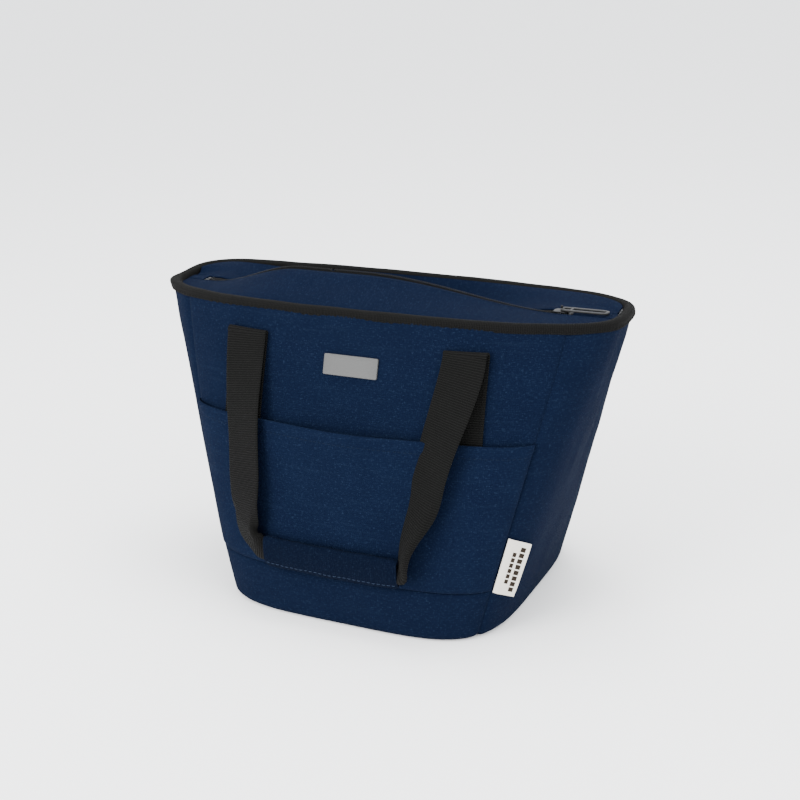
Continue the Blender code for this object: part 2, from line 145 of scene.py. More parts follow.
class Strand:
    def __init__(self, finish, socket):
        self.finish = finish
        self.socket = socket

    def __add__(self, other):
        return self.finish.maths("ADD", self, other)

    def __sub__(self, other):
        return self.finish.maths("SUBTRACT", self, other)

    def __rsub__(self, other):
        return self.finish.maths("SUBTRACT", other, self)

    def __mul__(self, other):
        return self.finish.maths("MULTIPLY", self, other)

    __radd__ = __add__
    __rmul__ = __mul__


def tinted(color, factor):
    return tuple(min(1, c * factor) for c in color)


class Finish:
    def __init__(self, name, **fixed):
        self.material = bpy.data.materials.new(name)
        self.material.use_nodes = True
        self.tree = self.material.node_tree
        self.shader = self.tree.nodes["Principled BSDF"]
        for socketName, value in fixed.items():
            self.shader.inputs[socketName.replace("_", " ")].default_value = value

    def feed(self, socket, value):
        if isinstance(value, Strand):
            self.tree.links.new(value.socket, socket)
        elif isinstance(value, tuple) and socket.type == "RGBA" and len(value) == 3:
            socket.default_value = (*value, 1)
        else:
            socket.default_value = value

    def node(self, kind, settings=None, inputs=None, output=0):
        new = self.tree.nodes.new(kind)
        for name, value in (settings or {}).items():
            setattr(new, name, value)
        for name, value in (inputs or {}).items():
            self.feed(new.inputs[name], value)
        return Strand(self, new.outputs[output])

    def maths(self, operation, *values):
        return self.node("ShaderNodeMath", {"operation": operation}, dict(enumerate(values)))

    def clear(self, value):  # kept between 0 and 1
        return self.node("ShaderNodeMath", {"operation": "ADD", "use_clamp": True}, {0: value, 1: 0.0})

    def step(self, value, low, high):  # 0 below low, 1 above high, and smooth between
        settings = {"interpolation_type": "SMOOTHSTEP"}
        return self.node("ShaderNodeMapRange", settings, {"Value": value, "From Min": low, "From Max": high})

    def mix(self, share, first, second):
        return self.node("ShaderNodeMix", {"data_type": "RGBA"}, {0: share, 6: first, 7: second}, output=2)

    def toned(self, share, color, darker, lighter):  # one colour, from darker to lighter
        return self.mix(self.clear(share), tinted(color, darker), tinted(color, lighter))

    def objectPlace(self):
        return self.node("ShaderNodeTexCoord", output=3)

    def along(self, axis, vector):
        return self.node("ShaderNodeSeparateXYZ", None, {0: vector}, output="XYZ".index(axis))

    def clothPlace(self):  # metres along and across the cloth, together and each alone
        place = self.node("ShaderNodeUVMap", {"uv_map": "cloth"})
        return place, self.along("X", place), self.along("Y", place)

    def noise(self, vector, scale, detail=2.0, rough=0.5):
        inputs = {"Vector": vector, "Scale": scale, "Detail": detail, "Roughness": rough}
        return self.node("ShaderNodeTexNoise", None, inputs)

    def grain(self, vector, scale, detail=2.0, rough=0.6):  # noise of another scale each way
        stretched = self.node("ShaderNodeMapping", None, {"Vector": vector, "Scale": (*scale, 1)[:3]})
        return self.noise(stretched, 1.0, detail, rough)

    def wave(self, value):
        return self.maths("SINE", value)

    def bump(self, height, distance, strength):
        inputs = {"Height": height, "Distance": distance, "Strength": strength}
        return self.node("ShaderNodeBump", None, inputs)

    def give(self, **links):
        for socketName, value in links.items():
            self.feed(self.shader.inputs[socketName.replace("_", " ")], value)
        return self.material


cloth = {
    "warp": (0.0014, 0.0030, 0.0105),  # the darker yarn
    "weft": (0.0027, 0.0057, 0.0155),
    "slub": (0.0074, 0.0136, 0.0290),  # pale flecks of unevenly spun yarn
    "yarns": 1150.0,  # a metre, each way
    "slubLong": 380,  # slubs in a metre along the yarn, and across it
    "slubFine": 1300,
    "patches": (38, 38),
    "streaks": (22, 420),
    "fleckFrom": (0.62, 0.78),
    "streakFrom": (0.66, 0.86),
    "wearFrom": (0.35, 0.75),
    "nap": 0.00030,
}


def canvasFinish(name, shade=1.0, worn=0.0):
    # plain weave: two sets of yarn, each uneven along itself, that pass over and under each other
    made = Finish(name, Specular_IOR_Level=0.02, Sheen_Weight=0.006, Sheen_Roughness=0.5,
                  Sheen_Tint=(0.45, 0.55, 0.8, 1))
    place, u, v = made.clothPlace()
    pitch = cloth["yarns"] * 2 * math.pi
    over = made.wave(u * pitch) * made.wave(v * pitch)
    warpSlub = made.grain(place, (cloth["slubFine"], cloth["slubLong"]))
    weftSlub = made.grain(place, (cloth["slubLong"], cloth["slubFine"]))
    patch = made.grain(place, cloth["patches"], 3.0)
    long = made.grain(place, cloth["streaks"], 1.0, 0.5)
    yarn = made.clear(over * 0.22 + weftSlub * 1.1 - 0.1)
    color = made.mix(yarn, tinted(cloth["warp"], shade), tinted(cloth["weft"], shade))
    fleck = made.step(warpSlub * 0.5 + weftSlub * 0.6 + patch * 0.08, *cloth["fleckFrom"])
    color = made.mix(fleck * 0.8, color, tinted(cloth["slub"], shade))
    streak = made.step(long + warpSlub * 0.25, *cloth["streakFrom"])
    color = made.mix(streak * 0.15, color, tinted(cloth["slub"], shade * 0.8))
    wear = made.step(patch, *cloth["wearFrom"])
    color = made.mix(wear * (0.16 + worn), color, tinted(cloth["weft"], shade * 1.3))
    normal = made.bump(over * 0.3 + warpSlub * 0.55 + weftSlub * 0.55, cloth["nap"], 0.85)
    return made.give(Base_Color=color, Roughness=made.clear(0.97 - fleck * 0.12), Normal=normal)


webbing = {
    "yarn": (0.0022, 0.0022, 0.0021),
    # crest: the lighter colour of the rib tops, a painted highlight
    "crest": (0.0062, 0.0061, 0.0058),
    "ribs": 640.0,  # crosswise ribs in a metre
    "lines": 1100.0,  # lengthwise yarns in a metre
    "wander": (90, 350),
    "fuzz": (1500, 1500),
    "patches": (60, 60),
    "depth": 0.0005,
}


def webbingFinish(name, ribs=webbing["ribs"], lines=webbing["lines"], depth=webbing["depth"], shade=1.0):
    # crosswise ribs along the strap, each broken by the lengthwise yarns that cross it
    made = Finish(name, Specular_IOR_Level=0.04, Sheen_Weight=0.006, Sheen_Roughness=0.4)
    place, u, v = made.clothPlace()
    rib = made.wave(u * (ribs * 2 * math.pi) + made.grain(place, webbing["wander"]) * 1.6) * 0.5 + 0.5
    line = made.wave(v * (lines * 2 * math.pi)) * 0.5 + 0.5
    fuzz = made.grain(place, webbing["fuzz"], rough=0.7)
    patch = made.grain(place, webbing["patches"], rough=0.5)
    # rib tops are painted lighter as a painted highlight; fuzz and patches vary the tone at random
    high = made.clear(rib * 0.62 + line * 0.16 + fuzz * 0.34 + patch * 0.2 - 0.26)
    color = made.mix(high, tinted(webbing["yarn"], shade), tinted(webbing["crest"], shade))
    normal = made.bump(rib + line * 0.25 + fuzz * 0.35, depth, 0.9)
    return made.give(Base_Color=color, Roughness=made.clear(0.92 - high * 0.22), Normal=normal)


film = {
    "shadow": (0.40, 0.41, 0.42),
    "silver": (0.60, 0.61, 0.62),
    "creases": (34, 34),
    "wrinkles": (190, 190),
    "squares": 620,  # embossed squares, as an angle a metre
    "depth": 0.0025,
}


def liningFinish(name):
    # thin silvery film: soft creases, faint embossed squares
    made = Finish(name, Specular_IOR_Level=0.5, Coat_Weight=0.15, Coat_Roughness=0.3)
    place, u, v = made.clothPlace()
    crease = made.grain(place, film["creases"], 4.0, 0.55)
    fine = made.grain(place, film["wrinkles"], 3.0)
    cell = made.wave(u * film["squares"]) * made.wave(v * film["squares"])
    color = made.mix(made.clear(crease * 0.8 + fine * 0.3), film["shadow"], film["silver"])
    height = made.maths("ABSOLUTE", crease - 0.5) * 1.4 + fine * 0.1 + cell * 0.02
    return made.give(Base_Color=color, Roughness=made.clear(0.3 + fine * 0.25), Metallic=0.35,
                     Normal=made.bump(height, film["depth"], 0.8))


foamLook = {"poreShade": (0.58, 0.58, 0.55), "skin": (0.80, 0.80, 0.77), "pores": 900.0, "depth": 0.0004}


def foamFinish(name):
    # closed-cell foam: pale, with fine pores painted darker in their hollows as painted shade, and a random
    # tone
    made = Finish(name, Specular_IOR_Level=0.3)
    place = made.objectPlace()
    pore = made.node("ShaderNodeTexVoronoi", None, {"Vector": place, "Scale": foamLook["pores"]})
    tone = made.noise(place, 60.0, 3.0, 0.6)
    color = made.mix(made.clear(pore * 0.8 + tone * 0.4), foamLook["poreShade"], foamLook["skin"])
    return made.give(Base_Color=color, Roughness=made.clear(0.75 + tone * 0.2),
                     Normal=made.bump(pore, foamLook["depth"], 0.6))


def metalFinish(name, color, roughness, brush=(900, 40, 900), scratch=0.00006, metallic=1.0):
    # satin metal: fine brushed grain, faint smudges
    made = Finish(name, Metallic=metallic, Specular_IOR_Level=0.5)
    place = made.objectPlace()
    brushed = made.grain(place, brush, 3.0)
    smudge = made.noise(place, 70.0, 3.0, 0.55)
    tone = made.toned(brushed * 0.7 + smudge * 0.5 - 0.1, color, 0.82, 1.15)
    rough = made.clear(brushed * 0.16 + smudge * 0.12 + (roughness - 0.12))
    return made.give(Base_Color=tone, Roughness=rough, Normal=made.bump(brushed, scratch, 0.5))


def plasticFinish(name, color, roughness, grit=1800.0, depth=0.00008):
    # moulded plastic: fine spark grain, slightly uneven gloss
    made = Finish(name, Specular_IOR_Level=0.12)
    place = made.objectPlace()
    speck = made.noise(place, grit, 2.0, 0.6)
    tone = made.noise(place, 120.0, 2.0, 0.5)
    return made.give(Base_Color=made.toned(tone * 0.8 + speck * 0.2, color, 0.75, 1.3),
                     Roughness=made.clear(roughness - 0.1 + tone * 0.2), Normal=made.bump(speck, depth, 0.4))


cotton = {
    "shadow": (0.50, 0.475, 0.41),
    "light": (0.66, 0.64, 0.58),
    "fleck": (0.42, 0.36, 0.27),
    "weave": 8200,  # an angle a metre
    "yarns": (300, 1700),
    "flecks": (700, 1500),
    "depth": 0.00016,
}


def cottonFinish(name):
    # unbleached cotton tape: flat weave with a few tan flecks
    made = Finish(name, Specular_IOR_Level=0.2, Sheen_Weight=0.1)
    place, u, v = made.clothPlace()
    over = made.wave(u * cotton["weave"]) * made.wave(v * cotton["weave"])
    yarn = made.grain(place, cotton["yarns"])
    fleck = made.step(made.grain(place, cotton["flecks"], 1.0, 0.5), 0.70, 0.80)
    color = made.mix(made.clear(yarn * 0.8 + over * 0.15), cotton["shadow"], cotton["light"])
    color = made.mix(fleck * 0.5, color, cotton["fleck"])
    return made.give(Base_Color=color, Roughness=made.clear(0.95 - yarn * 0.1),
                     Normal=made.bump(over * 0.3 + yarn * 0.7, cotton["depth"], 0.7))


def threadFinish(name, color, depth=0.00008):
    # two plies twisted together, seen as slanting bands along the stitch; each band's darker part is painted
    # shade between the plies, with fuzz at random
    made = Finish(name, Specular_IOR_Level=0.05)
    place, u, v = made.clothPlace()
    twist = made.wave(u * 6200 + v * 5200) * 0.5 + 0.5
    fuzz = made.grain(place, (2600, 2600), 1.0, 0.5)
    return made.give(Base_Color=made.toned(twist * 0.6 + fuzz * 0.5, color, 0.6, 1.3),
                     Roughness=made.clear(0.85 - twist * 0.15), Normal=made.bump(twist, depth, 0.6))


def floorFinish(name):
    made = Finish(name, Specular_IOR_Level=0.15)
    tone = made.noise(made.objectPlace(), 3.0, 2.0, 0.5)
    color = made.mix(tone, tinted(studio["floor"], 0.99), studio["floor"])
    return made.give(Base_Color=color, Roughness=made.clear(0.85 + tone * 0.1))


navyCanvas = canvasFinish("navy canvas")
pocketCanvas = canvasFinish("pocket canvas", 1.06, 0.05)
# the navy canvas darkened to 0.62 of its colour: painted shade on the grip
shadedGripCanvas = canvasFinish("grip canvas in painted shade", 0.62)
strapBlack = webbingFinish("strap webbing")
bindingBlack = webbingFinish("binding tape", ribs=900.0, lines=700.0, depth=0.00028, shade=0.95)
zipTapeBlack = webbingFinish("zip tape", ribs=1500.0, lines=900.0, depth=0.00015, shade=0.6)
silverFilm = liningFinish("silver lining film")
whiteFoam = foamFinish("insulating foam")
satinPlate = metalFinish("satin plate", (0.056, 0.056, 0.055), 0.62, brush=(60, 900, 900), metallic=0.35)
gunMetal = metalFinish("gun metal", (0.012, 0.012, 0.013), 0.5, metallic=0.6)
pullerMetal = metalFinish("puller metal", (0.0105, 0.0108, 0.0112), 0.5, brush=(40, 900, 900), metallic=0.6)
teethPlastic = plasticFinish("zip teeth", (0.003, 0.003, 0.0033), 0.5)
boardPlastic = plasticFinish("base board", (0.03, 0.03, 0.03), 0.6)
creamCotton = cottonFinish("cream cotton")
navyThread = threadFinish("navy thread", (0.0035, 0.0070, 0.0170))
# lighter than the navy thread: real stitches, and also a painted highlight for the light lower edge of the
# grip's fold
paleThreadAndEdgeHighlight = threadFinish("pale thread and painted edge highlight", (0.014, 0.022, 0.040))
blackThread = threadFinish("black thread", (0.004, 0.004, 0.004))
printThread = threadFinish("label marks", (0.018, 0.013, 0.009))
print("finishes made:", len(bpy.data.materials))


# Surfaces from arrays


def bent(t, power):
    return np.sign(t) * np.abs(t) ** power


def turns(count):
    # even steps round a full turn
    return np.linspace(0, 2 * math.pi, count + 1)[:-1]


def roundedRing(halfLong, halfWide, power, angle):
    # a superellipse: (halfLong cos^(2/n), halfWide sin^(2/n)), each with its sign
    x, y = bent(np.cos(angle), 2 / power), bent(np.sin(angle), 2 / power)
    return np.stack([x * halfLong, y * halfWide], -1)


def wrapped(place):
    # a grid of places made one wider each way, as a closed shape's pattern needs
    place = np.concatenate([place, place[:, :1]], 1)
    return np.concatenate([place, place[:1]], 0)


def boxOf(node):
    return (np.array(corner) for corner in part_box(node))


def ease(share):
    share = np.clip(share, 0, 1)
    return share * share * (3 - 2 * share)


def ripple(u, v, length, seed):
    # a sum of seven long waves in fixed directions, about -1 to 1, that never repeats over the bag
    pick = np.random.default_rng(seed)
    turn = pick.uniform(0, math.pi, 7)
    size = length * pick.uniform(0.7, 1.7, 7)
    start = pick.uniform(0, 2 * math.pi, 7)
    total = 0
    for t, s, p in zip(turn, size, start):
        total = total + np.sin((u * math.cos(t) + v * math.sin(t)) * 2 * math.pi / s + p)
    return total / 3.6


def crowded(low, high, count, crowd=0.92):
    # values from low to high that lie closer together near both ends
    t = np.linspace(-1, 1, count) * math.pi / 2 * crowd
    return (low + high) / 2 + (high - low) / 2 * np.sin(t) / math.sin(math.pi / 2 * crowd)


def facesOf(rows, cols, loopCols=False, loopRows=False):
    # the four corners of each cell of a grid, as vertex numbers and as places in a grid one wider each way
    r, c = np.meshgrid(np.arange(rows if loopRows else rows - 1), np.arange(cols if loopCols else cols - 1),
                       indexing="ij")
    r, c = r.ravel(), c.ravel()
    corner = [(r, c), (r, c + 1), (r + 1, c + 1), (r + 1, c)]
    vertex = np.stack([(a % rows) * cols + b % cols for a, b in corner], 1)
    place = np.stack([a * (cols + 1) + b for a, b in corner], 1)
    return vertex, place


def measured(grid):
    # metres along and across a grid, from its mean row and column lengths, one wider each way
    both = wrapped(grid)
    acrossStep = np.linalg.norm(np.diff(both, axis=1), axis=2)
    alongStep = np.linalg.norm(np.diff(both, axis=0), axis=2)
    u = np.concatenate([np.zeros((len(both), 1)), np.cumsum(acrossStep, 1)], 1)
    u = u - u[:, :1] - (u[:, -2:-1] / 2)
    v = np.concatenate([[0], np.cumsum(alongStep.mean(1))])
    return np.stack([u, np.broadcast_to(v[:, None], u.shape)], 2)


def normalsOf(grid):
    # the cross product of the two directions of the grid
    n = np.cross(np.gradient(grid, axis=1), np.gradient(grid, axis=0))
    return n / np.maximum(np.linalg.norm(n, axis=2, keepdims=True), 1e-12)


def facingOut(grid, toward):
    n = normalsOf(grid)
    return n if (n * toward).sum() > 0 else -n


def volumeOf(points, faces):
    volume = 0.0
    for f in faces:
        for k in range(1, f.shape[1] - 1):
            volume += (points[f[:, 0]] * np.cross(points[f[:, k]], points[f[:, k + 1]])).sum()
    return volume


def newPiece(name, points, faces, uv, material, sharp=50):
    # faces is a list of arrays of vertex numbers, and uv a list of arrays with one pair for each corner.
    # A closed shape whose volume comes out negative has its faces turned round.
    points = np.asarray(points, float)
    if volumeOf(points, faces) < 0:
        faces = [f[:, ::-1] for f in faces]
        uv = [t[:, ::-1] for t in uv]
    mesh = bpy.data.meshes.new(name)
    mesh.from_pydata(points.tolist(), [], [row for f in faces for row in f.tolist()])
    layer = mesh.uv_layers.new(name="cloth")
    layer.uv.foreach_set("vector", np.concatenate([t.reshape(-1, 2) for t in uv]).astype(np.float32).ravel())
    mesh.shade_smooth()
    mesh.set_sharp_from_angle(angle=math.radians(sharp))
    mesh.materials.append(material)
    piece = bpy.data.objects.new(name, mesh)
    bpy.context.scene.collection.objects.link(piece)
    return piece


def slab(name, outer, inner, material, loopCols=False, sharp=50, place=None):
    # two grids of the same shape, back to back, with their borders joined
    rows, cols = outer.shape[:2]
    size = rows * cols
    points = np.concatenate([outer.reshape(-1, 3), inner.reshape(-1, 3)])
    spots = (measured(outer) if place is None else place).reshape(-1, 2)
    front, frontSpot = facesOf(rows, cols, loopCols)
    faces = [front, front[:, ::-1] + size]
    uv = [spots[frontSpot], spots[frontSpot][:, ::-1]]
    r, c = np.arange(rows), np.arange(cols + 1 if loopCols else cols)
    edges = [(np.zeros_like(c), c, 1), (np.full_like(c, rows - 1), c, -1)]
    if not loopCols:
        edges += [(r, np.zeros_like(r), -1), (r, np.full_like(r, cols - 1), 1)]
    for er, ec, way in edges:
        line, spot = er * cols + ec % cols, er * (cols + 1) + ec
        rim = np.stack([line[1:], line[:-1], line[:-1] + size, line[1:] + size], 1)
        near = spots[np.stack([spot[1:], spot[:-1], spot[:-1], spot[1:]], 1)]
        faces.append(rim[:, ::way])
        uv.append(near[:, ::way])
    return newPiece(name, points, faces, uv, material, sharp)


def carried(name, rings, material, loopPath=False, sharp=50, place=None):
    # a closed profile carried along a path: rings holds the profile at each station
    rows, cols = rings.shape[:2]
    points = rings.reshape(-1, 3)
    spots = measured(rings) if place is None else place
    spots = spots[..., ::-1].reshape(-1, 2)  # U runs along the path
    side, spot = facesOf(rows, cols, True, loopPath)
    faces, uv = [side], [spots[spot]]
    if not loopPath:
        middle = len(points)
        points = np.concatenate([points, rings[:1].mean(1), rings[-1:].mean(1)])
        c = np.arange(cols)
        for row, centre, way in ((0, middle, 1), (rows - 1, middle + 1, -1)):
            line, nextLine = row * cols + c, row * cols + (c + 1) % cols
            near = row * (cols + 1) + c
            faces.append(np.stack([np.full(cols, centre), nextLine, line], 1)[:, ::way])
            uv.append(spots[np.stack([near, near + 1, near], 1)][:, ::way])
    return newPiece(name, points, faces, uv, material, sharp)


def lengthsOf(path):
    return np.concatenate([[0], np.cumsum(np.linalg.norm(np.diff(path, axis=0), axis=1))])


def walked(path, stations):
    # the points that lie at these distances along a path
    walk = lengthsOf(path)
    return np.stack([np.interp(stations, walk, path[:, k]) for k in range(path.shape[1])], 1)


def tinyTubes(name, points, material, sharp, place=None):
    # many small closed tubes in one mesh: points is a grid of rings for each
    count, rows, cols = points.shape[:3]
    one, spot = facesOf(rows, cols, True)
    shift = (np.arange(count) * rows * cols)[:, None, None]
    faces = [(one[None] + shift).reshape(-1, 4)]
    uv = [np.zeros((count * len(one), 4, 2)) if place is None else np.tile(place[spot], (count, 1, 1))]
    end = np.arange(cols)[None]
    for row, way in ((0, -1), (rows - 1, 1)):
        faces.append((end[None, :, ::way] + row * cols + shift).reshape(-1, cols))
        uv.append(np.zeros((count, cols, 2)))
    return newPiece(name, points.reshape(-1, 3), faces, uv, material, sharp)


def stitches(name, path, outward, material, length=2.6 * mm, gap=0.9 * mm, thread=0.32 * mm, sunk=0.12 * mm):
    # each stitch is a short thread that rises from one hole and sinks into the next:
    # its height is 1 - s^4 and its thickness the root of 1 - s^8, with s from -1 to 1 along it
    total = lengthsOf(path)[-1]
    count = max(1, int(total / (length + gap)))
    begin = (np.arange(count) + 0.5) * total / count - length / 2
    s = np.array([-1, -0.86, -0.45, 0, 0.45, 0.86, 1])
    stations = (begin[:, None] + (s + 1) / 2 * length).ravel()
    middle = walked(path, stations).reshape(count, len(s), 3)
    up = walked(outward, np.interp(stations, lengthsOf(path), lengthsOf(outward)))
    up = unit(up).reshape(count, len(s), 3)
    sideways = unit(np.cross(unit(np.gradient(middle, axis=1)), up))
    rise = (1 - s**4)[None, :, None] * thread - sunk
    thick = np.sqrt(1 - np.minimum(np.abs(s), 0.985) ** 8)[None, :, None, None] * thread
    around = turns(6)
    ring = sideways[:, :, None] * np.cos(around)[:, None] + up[:, :, None] * np.sin(around)[:, None] * 0.75
    points = (middle + up * rise)[:, :, None] + ring * thick
    place = np.stack(np.meshgrid(s * length / 2, np.arange(7) * thread, indexing="ij"), 2).reshape(-1, 2)
    return tinyTubes(name, points, material, 80, place)


def fit(piece, body, slotName, *nodes):
    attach(piece, body)
    if nodes:
        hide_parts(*nodes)
    return piece


def declareCloth(grid):
    # works out the two diagonals of each cell of the finished cloth; nothing is done with them
    a, b = grid[1:, 1:] - grid[:-1, :-1], grid[1:, :-1] - grid[:-1, 1:]


# The shell: its outline is a rounded oblong that turns from broad at the rim to deep at the foot

shell = {
    "topHalfWidth": 170 * mm,
    "topHalfDepth": 50 * mm,
    "topPower": 2.8,
    "baseHalfWidth": 106 * mm,
    "baseHalfDepth": 97 * mm,
    "basePower": 4.3,
    "height": 208 * mm,
    "depthPower": 1.57,
    "footRadius": 5 * mm,
    "seamAngle": math.radians(38.5),
    "canvas": 0.9 * mm,
    "foam": 3.0 * mm,
    "gap": 0.4 * mm,
    "lining": 0.4 * mm,
    "seamDepth": 1.3 * mm,  # how far the canvas turns in at a seam
    "seamReach": 1.5 * mm,
    "unevenness": 0.75 * mm,
    "clothTop": 206.5 * mm,  # the canvas ends under the binding
    "panelFoot": 36.0 * mm,  # the front panel starts here, just above the lower band
    "bandTop": 35.6 * mm,
    "foamFoot": 7.5 * mm,
    "foamKnee": 16 * mm,  # rows are closer below it
    "foamTop": 204.5 * mm,
    "foamWide": 0.985,  # of the way from seam to seam
    "liningTop": 204.0 * mm,
    "liningOver": 0.3 * mm,
    "billowReach": 26 * mm,
}


def section(height):
    t = height / shell["height"]
    late = np.maximum(t, 0) ** shell["depthPower"]
    under = np.clip(shell["footRadius"] - height, 0, shell["footRadius"])
    foot = shell["footRadius"] - np.sqrt(shell["footRadius"] ** 2 - under**2)
    a = shell["baseHalfWidth"] + (shell["topHalfWidth"] - shell["baseHalfWidth"]) * t - foot
    b = shell["baseHalfDepth"] + (shell["topHalfDepth"] - shell["baseHalfDepth"]) * late - foot
    return a, b, shell["basePower"] + (shell["topPower"] - shell["basePower"]) * t


crest = {
    "rearRise": 3.4 * mm,  # how far the rim's cloth is drawn up at the back, and at the front
    "frontRise": 2.0 * mm,
    "leftRise": 1.0 * mm,  # more at the left end, less at the right
    "riseFrom": 188 * mm,
    "from": 110 * mm,  # height at which the rear corners start to square off
    "clear": 95 * mm,  # the straps' stretch of the back, left as it is
    "powerLeft": 3.9,
    "powerRight": 3.3,
    "clearOver": 36 * mm,
    "cornerFrom": -4 * mm,  # in depth: the corners square off over this stretch
    "cornerOver": 22 * mm,
    "rearFrom": -30 * mm,  # and the front's rise turns to the rear's
    "rearOver": 70 * mm,
}


def squared(points):
    # near the rim the rear corners are squarer than the front ones: a point is moved out along its own
    # direction by the ratio of the two outlines' radii, 1 / (|c / a|^n + |s / b|^n)^(1 / n)
    x, y, z = points[..., 0], points[..., 1], points[..., 2]
    a, b, n = section(np.minimum(z, shell["height"]))
    near = ease((z - crest["from"]) / (shell["height"] - crest["from"]))
    back = ease((y - crest["cornerFrom"]) / crest["cornerOver"])
    wanted = np.where(x < 0, crest["powerLeft"], crest["powerRight"])
    beside = ease((np.abs(x) - crest["clear"]) / crest["clearOver"])
    power = n + (wanted - n) * near * back * beside
    u, v = np.maximum(np.abs(x / a), 1e-9), np.maximum(np.abs(y / b), 1e-9)
    grow = (u**n + v**n) ** (1 / n) / (u**power + v**power) ** (1 / power)
    moved = np.stack([x * grow, y * grow, z], -1)
    lifted = ease((z - crest["riseFrom"]) / (shell["height"] - crest["riseFrom"]))
    rear = ease((y - crest["rearFrom"]) / crest["rearOver"])
    rise = crest["frontRise"] * (1 - rear) + (crest["rearRise"] - crest["leftRise"] * x / a) * rear
    moved[..., 2] += lifted * rise
    return moved


def outlineY(x, height, inset=0.0):
    # half depth at x: b (1 - |x / a|^n)^(1 / n)
    a, b, n = section(height)
    return (b - inset) * np.maximum(1 - np.abs(x / (a - inset)) ** n, 0) ** (1 / n)


def outlineX(y, height, inset=0.0):
    a, b, n = section(height)
    return (a - inset) * np.maximum(1 - np.abs(y / (b - inset)) ** n, 0) ** (1 / n)


def billow(side, across, height):
    # how far the cloth stands off its pattern: soft unevenness that dies away at the seams and the rim
    fromFoot, fromRim = height / shell["billowReach"], (shell["height"] - height) / shell["billowReach"]
    window = (1 - across**4) * ease(fromFoot) * ease(fromRim)
    seed = {"front": 3, "back": 8, "left": 12, "right": 21}[side]
    a = section(height)[0]
    even = ripple(across * a, height, 85 * mm, seed)
    fine = ripple(across * a, height, 30 * mm, seed + 1)
    return shell["unevenness"] * window * (0.35 + 0.8 * even + 0.22 * fine)


def sideReach(side, height, inset=0.0):
    # half the distance between a side's seams
    a, b, n = section(height)
    if side in ("front", "back"):
        return math.cos(shell["seamAngle"]) ** (2 / n) * (a - inset)
    return math.sin(shell["seamAngle"]) ** (2 / n) * (b - inset)


def skin(side, across, height, inset=0.0):
    # a point of one side: across runs from -1 at one seam to 1 at the other
    along = across * sideReach(side, height, inset)
    sign = -1 if side in ("front", "left") else 1
    if side in ("front", "back"):
        return np.stack([along, sign * outlineY(along, height, inset), height], -1)
    return np.stack([sign * outlineX(along, height, inset), along, height], -1)


def seamTuck(across, height, reach, low, high):
    # the canvas turns in at its seams: a fall of exp(-(d / r)^1.3) from each border, d metres away
    d = (1 - np.abs(across)) * reach
    borders = [d]
    if low is not None:
        borders.append(height - low)
    if high is not None:
        borders.append(high - height)
    nearest = np.maximum(np.minimum.reduce(borders), 0)
    return shell["seamDepth"] * np.exp(-(nearest / shell["seamReach"]) ** 1.3)


def panelGrid(side, heights, columns, low, high):
    # the outer face of a canvas panel
    h, u = np.meshgrid(heights, crowded(-1, 1, columns), indexing="ij")
    base = squared(skin(side, u, h))
    toward = facingOut(base, base * (1, 1, 0))
    lift = billow(side, u, h) - seamTuck(u, h, sideReach(side, h), low, high)
    return base + toward * lift[..., None], toward


def makePanel(name, side, heights, columns, low, high, node):
    outer, toward = panelGrid(side, heights, columns, low, high)
    piece = slab(name, outer, outer - toward * shell["canvas"], navyCanvas, sharp=70)
    fit(piece, "bag", "canvas", node)
    declareCloth(outer)


def makeShell():
    bandTop, foot, bend, top = shell["bandTop"], shell["panelFoot"], shell["footRadius"], shell["clothTop"]
    footRows = (bend * (1 - np.cos(np.linspace(0.0, math.pi / 2, 7))))[:-1]
    upper = crowded(foot, top, 62, 0.9)
    lower = np.concatenate([footRows, crowded(bend, bandTop, 12, 0.85)])
    full = np.concatenate([footRows, np.linspace(bend, top, 66)])
    makePanel("frontCanvas", "front", upper, 110, foot, None, "front_panel")
    makePanel("lowerBand", "front", lower, 100, None, bandTop, "front_lower_band")
    makePanel("backCanvas", "back", full, 110, None, None, "back_panel")
    makePanel("rightGusset", "right", full, 70, None, None, "right_gusset")
    makePanel("leftGusset", "left", full, 70, None, None, "left_gusset")


def plateRings(outline, half, edge, steps, least, crown=0.0):
    # a flat plate: its outline shrinks to nothing on both faces, with a rounded rim between
    turn = np.linspace(-math.pi / 2, math.pi / 2, 7)
    grow = np.linspace(least, 1, steps)
    shrink = np.concatenate([grow[:-1], np.ones(7), grow[-2::-1]])
    flat = np.full(steps - 1, 1.0)
    inward = np.concatenate([flat * edge, edge * (1 - np.cos(turn)), flat * edge])
    rise = np.concatenate([-flat * half, half * np.sin(turn), flat * half])
    rise = rise + crown * (1 - shrink**2) * (rise > 0)
    k = shrink[:, None] * (1 - inward[:, None] / np.linalg.norm(outline, axis=1))
    return np.stack([k * outline[:, 0], k * outline[:, 1], np.broadcast_to(rise[:, None], k.shape)], 2)


def ovalPlate(name, height, inset, low, high, edge, material, slotName, node):
    # a flat piece of the bag's outline
    a, b, n = section(height)
    rings = plateRings(roundedRing(a - inset, b - inset, n, turns(144)), (high - low) / 2, edge, 15, 0.02)
    rings = rings + (0, 0, (low + high) / 2)
    piece = carried(name, rings, material, sharp=60, place=wrapped(rings[..., :2]))
    return fit(piece, "bag", slotName, node)


def makeFoam():
    inset = shell["canvas"] + shell["gap"]
    knee = np.linspace(shell["foamFoot"], shell["foamKnee"], 6)[:-1]
    heights = np.concatenate([knee, np.linspace(shell["foamKnee"], shell["foamTop"], 36)])
    for side in ("front", "back", "left", "right"):
        h, u = np.meshgrid(heights, crowded(-shell["foamWide"], shell["foamWide"], 34), indexing="ij")
        outer = squared(skin(side, u, h, inset))
        toward = facingOut(outer, outer * (1, 1, 0))
        piece = slab("foam" + side.capitalize(), outer, outer - toward * shell["foam"], whiteFoam)
        fit(piece, "bag", "foam", "foam_" + side)


